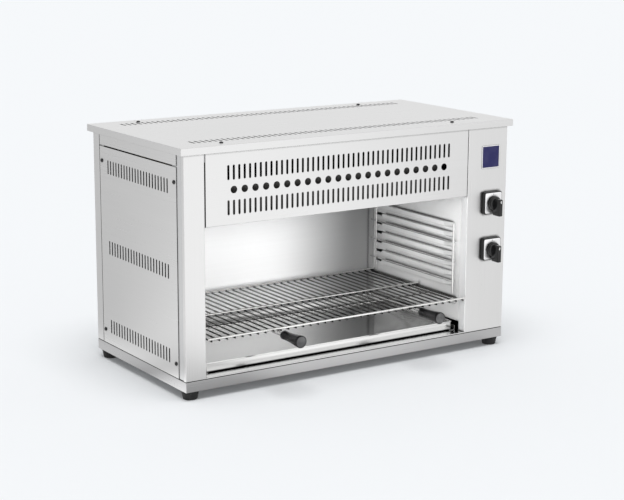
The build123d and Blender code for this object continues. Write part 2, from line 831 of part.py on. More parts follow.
# ---------------------------------------------------------------- wire shelf with its handles
shelf_wire_left_x = shelf_left_x + shelf_wire_radius
shelf_wire_step = (shelf_right_x - shelf_left_x - 2 * shelf_wire_radius) / (shelf_wire_count - 1)
under_rod_z = shelf_z - shelf_wire_radius - shelf_under_radius
under_margin = runner_width - shelf_side_margin + shelf_under_radius

with BuildPart() as wire_shelf:
    for wire in range(shelf_wire_count):
        wire_x = shelf_wire_left_x + wire * shelf_wire_step
        rod_y(
            wire_x, shelf_z, shelf_front_y + shelf_wire_tuck, shelf_rear_y + shelf_wire_tail,
            shelf_wire_radius,
        )
    for rod_place_y in (shelf_front_y, shelf_front_y + shelf_mid_from_front, shelf_rear_y):
        rod_x(
            rod_place_y, shelf_rod_z, shelf_rod_left_x, shelf_rod_right_x, shelf_rod_radius,
        )
    rod_x(
        shelf_front_y + shelf_under_from_front, under_rod_z,
        shelf_left_x + under_margin, shelf_right_x - under_margin, shelf_under_radius,
    )
wire_shelf.part.label = "wire_shelf"
export_step(wire_shelf.part, "parts/wire_shelf.step")

stem_z = shelf_rod_z - shelf_rod_radius - stem_radius
stem_rear_y = shelf_front_y + shelf_wire_tuck - screw_clearance
grip_rear_y = shelf_front_y - stem_free_length
grip_front_y = grip_rear_y - grip_length
handle_xs = [cavity_centre_x - left_handle_offset, cavity_centre_x + right_handle_offset]

with BuildPart() as handle_stems:
    for handle_x in handle_xs:
        for side in (-1, 1):
            rod_y(
                handle_x + side * stem_spacing / 2, stem_z, grip_rear_y - stem_grip_depth,
                stem_rear_y, stem_radius,
            )
handle_stems.part.label = "handle_stems"
export_step(handle_stems.part, "parts/handle_stems.step")

for grip_name, handle_x in zip(("left_handle_grip", "right_handle_grip"), handle_xs):
    with BuildPart() as handle_grip:
        with BuildSketch(Plane.XZ.offset(-grip_rear_y)):
            with Locations((handle_x, stem_z)):
                Circle(grip_rear_radius)
        with BuildSketch(Plane.XZ.offset(-grip_front_y)):
            with Locations((handle_x, stem_z)):
                Circle(grip_front_radius)
        loft()
        fillet(handle_grip.edges().filter_by(GeomType.CIRCLE), grip_edge_radius)
        for side in (-1, 1):
            rod_y(
                handle_x + side * stem_spacing / 2, stem_z, grip_rear_y - stem_grip_depth,
                grip_rear_y, stem_radius + touch_clearance, mode=Mode.SUBTRACT,
            )
    handle_grip.part.label = grip_name
    export_step(handle_grip.part, f"parts/{grip_name}.step")

# ---------------------------------------------------------------- drip tray and its runners
tray_top_z = tray_bottom_z + tray_height

with BuildPart() as drip_tray:
    block(tray_left_x, tray_right_x, tray_front_y, tray_rear_y, tray_bottom_z, tray_top_z)
    fillet(drip_tray.faces().sort_by(Axis.Z)[0].edges(), fold_radius)
    block(
        tray_left_x + tray_sheet, tray_right_x - tray_sheet,
        tray_front_y + tray_sheet, tray_rear_y - tray_sheet,
        tray_bottom_z + tray_sheet, tray_top_z, mode=Mode.SUBTRACT,
    )
    block(
        tray_left_x, tray_right_x, tray_front_y, tray_front_y + tray_rim,
        tray_top_z - tray_sheet, tray_top_z,
    )
drip_tray.part.label = "drip_tray"
export_step(drip_tray.part, "parts/drip_tray.step")

for runner_name, edge_x, outward in (
    ("left_tray_runner", tray_left_x, -1),
    ("right_tray_runner", tray_right_x, 1),
):
    web_inner_x = edge_x + outward * tray_side_play
    web_outer_x = web_inner_x + outward * outer_sheet
    inner_x = edge_x - outward * tray_runner_width
    with BuildPart() as tray_runner:
        block(
            min(inner_x, web_outer_x), max(inner_x, web_outer_x), tray_front_y + tray_rim,
            tray_rear_y, floor_top_z, floor_top_z + outer_sheet,
        )
        block(
            min(web_inner_x, web_outer_x), max(web_inner_x, web_outer_x), tray_front_y + tray_rim,
            tray_rear_y, floor_top_z, floor_top_z + tray_runner_height,
        )
    tray_runner.part.label = runner_name
    export_step(tray_runner.part, f"parts/{runner_name}.step")

# ---------------------------------------------------------------- rotary switches
shaft_rear_y = front_y + outer_sheet + shaft_in_body
knob_front_y = knob_rear_y - knob_hub_height - grip_bar_height

for switch_name, switch_z in (("upper", upper_switch_z), ("lower", lower_switch_z)):
    with BuildPart() as bezel:
        with BuildSketch(Plane.XZ.offset(-front_y)):
            with Locations((switch_x, switch_z)):
                RectangleRounded(bezel_size, bezel_size, bezel_corner)
                Circle(shaft_radius + running_clearance, mode=Mode.SUBTRACT)
        extrude(amount=bezel_depth)
        fillet(
            bezel.faces().sort_by(Axis.Y)[0].edges().filter_by(GeomType.LINE), plate_thickness,
        )
    bezel.part.label = f"{switch_name}_switch_bezel"
    export_step(bezel.part, f"parts/{switch_name}_switch_bezel.step")

    with BuildPart() as dial_plate:
        with BuildSketch(Plane.XZ.offset(-front_y + bezel_depth)):
            with Locations((switch_x, switch_z)):
                RectangleRounded(plate_size, plate_size, plate_corner)
                Circle(shaft_radius + running_clearance, mode=Mode.SUBTRACT)
        extrude(amount=plate_thickness)
    dial_plate.part.label = f"{switch_name}_dial_plate"
    export_step(dial_plate.part, f"parts/{switch_name}_dial_plate.step")

    with BuildPart() as switch_body:
        block(
            switch_x - switch_body_size / 2, switch_x + switch_body_size / 2,
            skin_y, skin_y + switch_body_depth,
            switch_z - switch_body_size / 2, switch_z + switch_body_size / 2,
        )
        rod_y(
            switch_x, switch_z, skin_y, shaft_rear_y + touch_clearance,
            shaft_radius + running_clearance, mode=Mode.SUBTRACT,
        )
    switch_body.part.label = f"{switch_name}_switch_body"
    export_step(switch_body.part, f"parts/{switch_name}_switch_body.step")

    with BuildPart() as switch_shaft:
        rod_y(switch_x, switch_z, knob_rear_y - knob_hub_height, shaft_rear_y, shaft_radius)
    switch_shaft.part.label = f"{switch_name}_switch_shaft"
    export_step(switch_shaft.part, f"parts/{switch_name}_switch_shaft.step")

    bar_top_z = switch_z - grip_bar_offset + grip_bar_length / 2
    with BuildPart() as switch_knob:
        with BuildSketch(Plane.XZ.offset(-knob_rear_y)):
            with Locations((switch_x, switch_z)):
                Circle(knob_hub_radius)
        extrude(amount=knob_hub_height)
        with BuildSketch(Plane.XZ.offset(grip_bar_rise - knob_rear_y)):
            with Locations((switch_x, switch_z - grip_bar_offset)):
                RectangleRounded(grip_bar_width, grip_bar_length, grip_bar_width / 3)
        extrude(amount=knob_hub_height + grip_bar_height - grip_bar_rise)
        fillet(switch_knob.faces().sort_by(Axis.Y)[0].edges(), plate_thickness)
        with BuildSketch(Plane.XZ.offset(-knob_front_y)):
            with Locations((switch_x, bar_top_z - index_length)):
                Rectangle(index_width, index_length)
        extrude(amount=-index_depth, mode=Mode.SUBTRACT)
        rod_y(
            switch_x, switch_z, knob_rear_y - knob_hub_height, knob_rear_y,
            shaft_radius + running_clearance, mode=Mode.SUBTRACT,
        )
    switch_knob.part.label = f"{switch_name}_switch_knob"
    export_step(switch_knob.part, f"parts/{switch_name}_switch_knob.step")

# ---------------------------------------------------------------- supply inside the column
block_rear_y = back_y - outer_sheet - terminal_inset
block_front_y = block_rear_y - terminal_block_depth
block_x0 = gland_x - terminal_block_width / 2
block_x1 = gland_x + terminal_block_width / 2
bracket_top_z = base_top_z + terminal_bracket_height

with BuildPart() as terminal_bracket:
    block(block_x0, block_x1, block_front_y, block_rear_y, base_top_z, bracket_top_z)
    block(
        block_x0 + frame_sheet, block_x1 - frame_sheet, block_front_y, block_rear_y,
        base_top_z, bracket_top_z - frame_sheet, mode=Mode.SUBTRACT,
    )
terminal_bracket.part.label = "terminal_bracket"
export_step(terminal_bracket.part, "parts/terminal_bracket.step")

with BuildPart() as terminal_block:
    block(
        block_x0, block_x1, block_front_y, block_rear_y,
        bracket_top_z, bracket_top_z + terminal_block_height,
    )
    for pole in (-1, 0, 1):
        rod_z(
            gland_x + pole * terminal_block_width / 3, (block_front_y + block_rear_y) / 2,
            bracket_top_z + terminal_block_height / 2, bracket_top_z + terminal_block_height,
            screw_head_radius, mode=Mode.SUBTRACT,
        )
terminal_block.part.label = "terminal_block"
export_step(terminal_block.part, "parts/terminal_block.step")

gland_tip_y = back_y + gland_flange_length + gland_dome_length
gland_inner_y = back_y - outer_sheet - gland_inner_length

with BuildPart() as cable_gland:
    rod_y(gland_x, gland_z, gland_inner_y, back_y, gland_body_radius)
    with BuildSketch(Plane.XZ.offset(-back_y)):
        with Locations((gland_x, gland_z)):
            RegularPolygon(gland_flange_radius, 6)
    extrude(amount=-gland_flange_length)
    rod_y(gland_x, gland_z, back_y + gland_flange_length, gland_tip_y, gland_dome_radius)
    fillet(cable_gland.faces().sort_by(Axis.Y)[-1].edges(), gland_dome_radius / 3)
    rod_y(gland_x, gland_z, gland_inner_y, gland_tip_y, gland_bore_radius, mode=Mode.SUBTRACT)
cable_gland.part.label = "cable_gland"
export_step(cable_gland.part, "parts/cable_gland.step")

with BuildPart() as gland_nut:
    nut_rear_y = back_y - outer_sheet
    with BuildSketch(Plane.XZ.offset(-nut_rear_y)):
        with Locations((gland_x, gland_z)):
            RegularPolygon(gland_nut_radius, 6)
            Circle(gland_body_radius + touch_clearance, mode=Mode.SUBTRACT)
    extrude(amount=gland_nut_length)
gland_nut.part.label = "gland_nut"
export_step(gland_nut.part, "parts/gland_nut.step")
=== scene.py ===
import json
import math

import bmesh
import bpy
from bpy.props import FloatProperty, FloatVectorProperty, IntProperty, PointerProperty
from mathutils import Matrix, Vector

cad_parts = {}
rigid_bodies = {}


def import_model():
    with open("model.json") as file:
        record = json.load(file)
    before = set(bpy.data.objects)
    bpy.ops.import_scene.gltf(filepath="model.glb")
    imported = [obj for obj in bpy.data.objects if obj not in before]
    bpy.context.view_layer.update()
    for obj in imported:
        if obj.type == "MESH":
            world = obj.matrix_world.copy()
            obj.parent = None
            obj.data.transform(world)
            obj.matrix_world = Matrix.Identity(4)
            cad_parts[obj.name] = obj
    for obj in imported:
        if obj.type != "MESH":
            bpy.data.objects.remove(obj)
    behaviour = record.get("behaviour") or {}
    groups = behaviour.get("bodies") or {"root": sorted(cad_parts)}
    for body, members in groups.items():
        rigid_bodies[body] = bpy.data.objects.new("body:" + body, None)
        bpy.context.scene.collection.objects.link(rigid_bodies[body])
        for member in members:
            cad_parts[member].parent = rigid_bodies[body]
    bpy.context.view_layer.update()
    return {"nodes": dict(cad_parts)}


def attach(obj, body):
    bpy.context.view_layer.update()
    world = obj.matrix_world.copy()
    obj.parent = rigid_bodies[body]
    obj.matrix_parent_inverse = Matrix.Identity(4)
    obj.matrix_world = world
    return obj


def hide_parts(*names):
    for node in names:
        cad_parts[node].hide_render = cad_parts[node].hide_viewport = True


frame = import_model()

bl_info = {
    "name": "Cheese Melter Dressing",
    "version": (1, 0, 0),
    "blender": (4, 5, 0),
    "location": "3D View > Sidebar > Melter",
    "description": "Finishes, moulded pieces and studio for a countertop cheese melter",
    "category": "Add Mesh",
}

MM = 0.001
X_AXIS = Vector((1, 0, 0))
Y_AXIS = Vector((0, 1, 0))
Z_AXIS = Vector((0, 0, 1))


# ------------------------------------------------------------------ settings
def paint(name, description, default):
    """A colour that the panel shows as a swatch."""
    return FloatVectorProperty(
        name=name, description=description, subtype="COLOR", size=3, min=0, max=1,
        default=default,
    )


def factor(name, description, default):
    """A number from nothing to one."""
    return FloatProperty(
        name=name, description=description, subtype="FACTOR", min=0, max=1, default=default,
    )


def millimetres(name, description, default):
    """A length that the panel shows in millimetres."""
    return FloatProperty(name=name, description=description + ", in millimetres", default=default)


def turn(name, description, default):
    """An angle that the panel shows in degrees."""
    return FloatProperty(name=name, description=description, subtype="ANGLE", default=default)


def strength(name, description, default):
    """The strength of a light."""
    return FloatProperty(name=name, description=description, default=default)


class MelterFinish(bpy.types.PropertyGroup):
    """Colours and gloss of the melter's materials"""

    satin_color: paint("Satin steel", "Colour of the brushed outer sheets", (0.69, 0.69, 0.69))
    mirror_color: paint("Mirror steel", "Colour of polished sheets", (0.96, 0.96, 0.955))
    back_color: paint("Back steel", "Colour of the chamber's back", (0.97, 0.97, 0.97))
    # painted shade: the back's colour at its right end, darkened where the column shades it
    back_dull_color: paint("Back, painted shade", "Colour at its right end", (0.48, 0.48, 0.48))
    wire_color: paint("Chromed wire", "Colour of the shelf's rods", (0.78, 0.775, 0.765))
    plastic_color: paint("Black plastic", "Grips, bezels and knobs", (0.006, 0.006, 0.0063))
    rubber_color: paint("Rubber", "Colour of the feet", (0.012, 0.012, 0.0125))
    badge_color: paint("Bare badge", "The plain plate on the column", (0.005, 0.005, 0.044))
    satin_roughness: factor("Satin roughness", "Roughness of the brushed outer sheets", 0.30)
    mirror_roughness: factor("Mirror roughness", "Roughness of the polished sheets", 0.13)


class MelterSizes(bpy.types.PropertyGroup):
    """Sizes of the modelled pieces, in millimetres"""

    foot_bottom: millimetres("Foot, bottom", "Radius of a foot at the floor", 14.4)
    foot_top: millimetres("Foot, top", "Radius of a foot under the base", 17.8)
    foot_hole: millimetres("Foot, hole", "Radius of the hole that sinks the screw", 5.4)
    screw_head: millimetres("Screw head", "Radius of a pan head", 4.0)
    screw_height: millimetres("Screw height", "Height of a pan head", 2.2)
    screw_shank: millimetres("Screw shank", "Length of the shank under the head", 6.0)
    cover_screw_left: millimetres("Cover screws, left", "Left ones from the middle", 296)
    cover_screw_right: millimetres("Cover screws, right", "Right ones from the middle", 258)
    cover_screw_front: millimetres("Cover screws, front", "Front ones from the middle", 169.5)
    cover_screw_rear: millimetres("Cover screws, rear", "Rear ones from the middle", 172)
    side_screw_y: millimetres("Side screws", "Distance from the middle", 153)
    side_screw_low: millimetres("Side screws, low", "Height of the lower ones", 67.6)
    side_screw_high: millimetres("Side screws, high", "Height of the upper ones", 422.8)
    back_screw_x: millimetres("Back screws", "Distance from the middle", 378)
    back_screw_low: millimetres("Back screws, low", "Height of the lowest", 80.4)
    back_screw_middle: millimetres("Back screws, middle", "Height of the middle ones", 258.4)
    back_screw_high: millimetres("Back screws, high", "Height of the highest", 436.4)
    shelf_count: IntProperty(name="Shelf wires", description="Front-to-back wires", default=36)
    shelf_wire: millimetres("Shelf wire", "Radius of a front-to-back wire", 1.6)
    shelf_rod: millimetres("Shelf rod", "Radius of a cross rod", 2.5)
    shelf_under_rod: millimetres("Under rod", "Radius of the rod under the wires", 2.0)
    shelf_side_reach: millimetres("Rod reach", "Rod past the outermost wire's middle", 7.1)
    under_side_reach: millimetres("Under rod, reach", "In from the cross rods' ends", 13.5)
    shelf_front_rod: millimetres("Front rod", "Place of the front cross rod", -195)
    shelf_middle_rod: millimetres("Middle rod", "Place of the middle cross rod", -30)
    shelf_rear_rod: millimetres("Rear rod", "Place of the rear cross rod", 137)
    under_rod_y: millimetres("Under rod, place", "Place of the rod under the wires", -93)
    stem_spacing: millimetres("Stem spacing", "Distance between a grip's stems", 11)
    grip_rear: millimetres("Grip, rear", "Radius of a grip at the stems", 9.0)
    grip_front: millimetres("Grip, front", "Radius of a grip at its disc", 12.5)
    tray_rim: millimetres("Tray rim", "Width of the rim of the drip tray", 5.0)
    tray_sheet: millimetres("Tray sheet", "Thickness of the drip tray's sheet", 0.9)
    tray_corner: millimetres("Tray corner", "Radius of the drip tray's corners", 6.0)
    tray_hem: millimetres("Tray hem", "Height of the fold along the rim", 2.0)
    bezel_corner: millimetres("Bezel corner", "Radius of a bezel's corners", 5.0)
    hub_radius: millimetres("Hub", "Radius of a knob's hub", 15.0)
    hub_height: millimetres("Hub height", "Height of a knob's hub", 9.0)
    bar_width: millimetres("Grip bar", "Width of a knob's grip bar", 9.0)
    bar_rise: millimetres("Grip bar rise", "Top of the grip bar over the axis", 10.5)
    gland_bore: millimetres("Gland bore", "Radius of the gland's bore", 4.5)
    gland_dome: millimetres("Gland dome", "Radius of the gland's dome nut", 10.3)
    liner_sheet: millimetres("Chamber sheet", "Thickness of the side sheets", 1.0)
    ledge_count: IntProperty(name="Ledges", description="Ledges on each side", default=7)
    ledge_low: millimetres("Lowest ledge", "Height of its top", 145.8)
    ledge_pitch: millimetres("Ledge pitch", "Height from one ledge to the next", 21.25)
    ledge_height: millimetres("Ledge height", "Height of a pressed ledge", 9.0)
    ledge_rear: millimetres("Ledge, rear", "Place where the CAD ledges end", 122.0)
    ledge_cut: millimetres("Ledge cut", "Length cut off the ledges at the rear", 23.0)
    # the lining behind the slots is painted shade: a black sheet where the casing's inside is only
    # shaded
    lining_gap: millimetres("Lining gap", "Room between a side panel and its lining", 5.0)
    lining_thickness: millimetres("Lining", "Thickness of the glass cloth", 4.0)
    cover_row_front: millimetres("Front slots", "Place of the cover's front slots", -137)
    cover_row_rear: millimetres("Rear slots", "Place of the cover's rear slots", 150)
    # painted shade: a black strip set into each seam of the casing
    gasket_depth: millimetres("Gasket depth", "How far a gasket lies behind its seam", 1.0)


class MelterStage(bpy.types.PropertyGroup):
    """Camera, lamps and floor"""

    azimuth: turn("Azimuth", "Where the camera stands round the melter", -0.58146)
    elevation: turn("Elevation", "How far the camera looks down", 0.21461)
    roll: turn("Roll", "Turn of the camera about its own axis", 0.00463)
    place: FloatVectorProperty(
        name="Camera place", description="Where the camera stands",
        subtype="XYZ", unit="LENGTH", size=3, default=(-1.80708, -2.78342, 0.94223),
    )
    focal: FloatProperty(
        name="Focal length", description="Focal length on a 36 mm sensor",
        unit="CAMERA", default=92.6,
    )
    floor_reach: FloatProperty(
        name="Floor reach", description="Half the width of the pale floor",
        unit="LENGTH", default=60.0,
    )
    floor_color: paint("Floor", "Colour of the pale floor", (0.755, 0.768, 0.781))
    floor_lift: strength("Floor lift", "Light that the floor keeps in its shadows", 0.08)
    key_strength: strength("Key strength", "Strength of the soft key light", 2.22)
    low_strength: strength("Low strength", "Low light that reaches into the chamber", 4.2)
    fill_strength: strength("Fill strength", "Low light on the chamber's right wall", 2.5)
    sky_strength: strength("Sky strength", "Strength of the light from all round", 0.44)
    glow_strength: strength("Glow strength", "Strength of what polished metal reflects", 1.0)


# ------------------------------------------------------------------ node helpers
def feed(tree, target, value):
    """Joins a socket to an input, or sets the input to a value."""
    if isinstance(value, bpy.types.NodeSocket):
        tree.links.new(value, target)
    else:
        target.default_value = value


def node(tree, kind, *sources, **values):
    """A shader node with its settings, and its inputs in order or by name."""
    made = tree.nodes.new(f"ShaderNode{kind}")
    named = {}
    for key, value in values.items():
        if hasattr(made, key):
            setattr(made, key, value)
        else:
            named[key.replace("_", " ")] = value
    for target, value in zip(made.inputs, sources):
        feed(tree, target, value)
    for key, value in named.items():
        feed(tree, made.inputs[key], value)
    return made


def maths(tree, operation, *sources):
    """The result of one sum over sockets and numbers."""
    return node(tree, "Math", *sources, operation=operation).outputs[0]


def ramp(tree, source, start, finish, low=0.0, high=1.0, shape="SMOOTHSTEP"):
    """A step between two values, smooth or straight."""
    made = node(tree, "MapRange", source, start, finish, low, high, interpolation_type=shape)
    return made.outputs["Result"]


def blend(tree, amount, first, second, kind="RGBA"):
    """Mixes two colours, or two numbers where the kind is FLOAT."""
    slot, result = {"FLOAT": (2, 0), "RGBA": (6, 2)}[kind]
    made = node(tree, "Mix", amount, data_type=kind)
    feed(tree, made.inputs[slot], first)
    feed(tree, made.inputs[slot + 1], second)
    return made.outputs[result]


def emptied(owner):
    """The node tree of a new material or world, with nothing in it."""
    owner.use_nodes = True
    owner.node_tree.nodes.clear()
    return owner.node_tree


def group(name, inputs, outputs, fill):
    """A shader node group, built once. Fill gets its tree and inputs and gives its outputs."""
    if name in bpy.data.node_groups:
        return bpy.data.node_groups[name]
    tree = bpy.data.node_groups.new(name, "ShaderNodeTree")
    for label, default in inputs.items():
        kind = "Float"
        if isinstance(default, tuple):
            kind = "Vector" if len(default) == 3 else "Color"
        socket = tree.interface.new_socket(label, in_out="INPUT", socket_type=f"NodeSocket{kind}")
        socket.default_value = default
    for label, kind in outputs.items():
        tree.interface.new_socket(label, in_out="OUTPUT", socket_type=f"NodeSocket{kind}")
    given = tree.nodes.new("NodeGroupInput").outputs
    target = tree.nodes.new("NodeGroupOutput")
    for label, result in zip(outputs, fill(tree, given)):
        tree.links.new(result, target.inputs[label])
    return tree


# ------------------------------------------------------------------ effects
NOISE_LOW, NOISE_HIGH = 0.3, 0.7  # where nearly all of a noise pattern lies
CLOUD_SCALE, CLOUD_SHARE = 7.0, 0.3  # broad clouds under the streaks
SMOOTHEST = 0.04
# painted shade: how far and how deeply ambient occlusion darkens a sheet's colour near seams and
# crevices
PAINTED_SHADE_REACH, PAINTED_SHADE_SHUT, PAINTED_SHADE_OPEN = 0.006, 0.5, 0.94  # a sheet darkens close to a seam
FOLD_RADIUS = 0.0007
STREAK_HEIGHT, SKIN_HEIGHT = 0.0002, 0.0003
PATCH_SCALE, PATCH_START, PATCH_FULL, PATCH_ROUGHER = 60.0, 0.45, 0.75, 0.15
SURFACE = {"Color": "Color", "Roughness": "Float", "Normal": "Vector"}


def brushing_group():
    """Fine streaks left by brushing, painted shade that darkens the colour in seams and crevices,
    and soft folds.
    """
    def fill(tree, given):
        coords = node(tree, "TexCoord").outputs["Object"]
        stretched = node(tree, "VectorMath", coords, given["Stretch"], operation="MULTIPLY")
        streaks = node(
            tree, "TexNoise", Vector=stretched.outputs["Vector"], Scale=1.0, Detail=4.0,
            Roughness=0.6,
        ).outputs["Fac"]
        cloud = node(
            tree, "TexNoise", Vector=coords, Scale=CLOUD_SCALE, Detail=2.0, Roughness=0.5,
        ).outputs["Fac"]
        both = maths(
            tree, "ADD",
            ramp(tree, streaks, NOISE_LOW, NOISE_HIGH, -1.0, 1.0, "LINEAR"),
            ramp(tree, cloud, NOISE_LOW, NOISE_HIGH, -CLOUD_SHARE, CLOUD_SHARE, "LINEAR"),
        )
        rough = maths(tree, "MULTIPLY_ADD", both, given["Roughness Spread"], given["Roughness"])
        shade = maths(tree, "MULTIPLY_ADD", both, given["Shade Spread"], 1.0)
        # painted shade: ambient occlusion darkens the colour in seams, creases and recesses where
        # shade falls
        crevice_occlusion = node(tree, "AmbientOcclusion", Distance=PAINTED_SHADE_REACH, samples=6).outputs["AO"]
        kept = maths(tree, "SUBTRACT", 1.0, given["Seam Depth"])
        seam = ramp(tree, crevice_occlusion, PAINTED_SHADE_SHUT, PAINTED_SHADE_OPEN, kept, 1.0, "LINEAR")
        tint = node(
            tree, "VectorMath", given["Color"], operation="SCALE",
            Scale=maths(tree, "MULTIPLY", shade, seam),
        )
        fold = node(tree, "Bevel", Radius=FOLD_RADIUS, samples=4)
        bump = node(
            tree, "Bump", Distance=STREAK_HEIGHT, Strength=given["Relief"], Height=streaks,
            Normal=fold.outputs["Normal"],
        )
        clamped = node(tree, "Clamp", rough, SMOOTHEST, 1.0)
        return tint.outputs["Vector"], clamped.outputs["Result"], bump.outputs["Normal"]

    return group("Brushing", {
        "Color": (0.8, 0.8, 0.8, 1), "Stretch": (3, 300, 300), "Roughness": 0.3,
        "Roughness Spread": 0.08, "Shade Spread": 0.05, "Relief": 0.05, "Seam Depth": 0.5,
    }, SURFACE, fill)


def moulding_group():
    """Moulded plastic or rubber: faint mottling, matt patches and an orange-peel skin."""
    def fill(tree, given):
        coords = node(tree, "TexCoord").outputs["Object"]
        skin = node(
            tree, "TexNoise", Vector=coords, Scale=given["Grain Size"], Detail=3.0,
            Roughness=0.55,
        )
        patch = node(
            tree, "TexNoise", Vector=coords, Scale=PATCH_SCALE, Detail=3.0, Roughness=0.6,
        )
        mask = ramp(tree, patch.outputs["Fac"], PATCH_START, PATCH_FULL, shape="LINEAR")
        dust = maths(tree, "MULTIPLY", mask, given["Dust"])
        tint = node(tree, "VectorMath", given["Color"], dust, operation="ADD")
        rough = maths(tree, "MULTIPLY_ADD", mask, PATCH_ROUGHER, given["Roughness"])
        bump = node(
            tree, "Bump", Distance=SKIN_HEIGHT, Strength=given["Relief"],
            Height=skin.outputs["Fac"],
        )
        return tint.outputs["Vector"], rough, bump.outputs["Normal"]

    return group("Moulding", {
        "Color": (0.02, 0.02, 0.02, 1), "Grain Size": 900.0, "Roughness": 0.35, "Dust": 0.02,
        "Relief": 0.15,
    }, SURFACE, fill)


def painted_shade_gradient_group():
    """Painted shade on steel: its colour darkens from one place to another along the melter's
    width.
    """
    def fill(tree, given):
        coords = node(tree, "TexCoord").outputs["Object"]
        across = node(tree, "SeparateXYZ", coords).outputs["X"]
        amount = ramp(tree, across, given["Start"], given["Finish"])
        return [blend(tree, amount, given["Bright Color"], given["Dull Color"])]

    return group("Dulled Steel", {
        "Bright Color": (0.9, 0.9, 0.9, 1), "Dull Color": (0.5, 0.5, 0.5, 1), "Start": 0.0,
        "Finish": 0.28,
    }, {"Color": "Color"}, fill)


def left_face_light_group():
    """Tells the folded flange at the chamber's mouth from the rest of its sheet by its faces
    turned to the left, and paints light on it: a lighter colour and less metal.
    """
    def fill(tree, given):
        normal = node(tree, "NewGeometry").outputs["True Normal"]
        across = node(tree, "SeparateXYZ", normal).outputs["X"]
        faces_left = maths(tree, "LESS_THAN", across, -0.5)
        return (
            blend(tree, faces_left, given["Color"], given["Flange Color"]),
            blend(tree, faces_left, 1.0, given["Flange Metallic"], "FLOAT"),
        )

    return group("Left Flange", {
        "Color": (0.7, 0.7, 0.7, 1), "Flange Color": (0.9, 0.9, 0.9, 1), "Flange Metallic": 0.4,
    }, {"Color": "Color", "Metallic": "Float"}, fill)


# ------------------------------------------------------------------ finishes of this object
ALONG_X = (2.5, 420, 420)
ALONG_Y = (420, 2.5, 420)
ALONG_Z = (420, 420, 2.5)
ALL_WAYS = (60, 60, 60)
SATIN = dict(color="satin_color", roughness="satin_roughness")

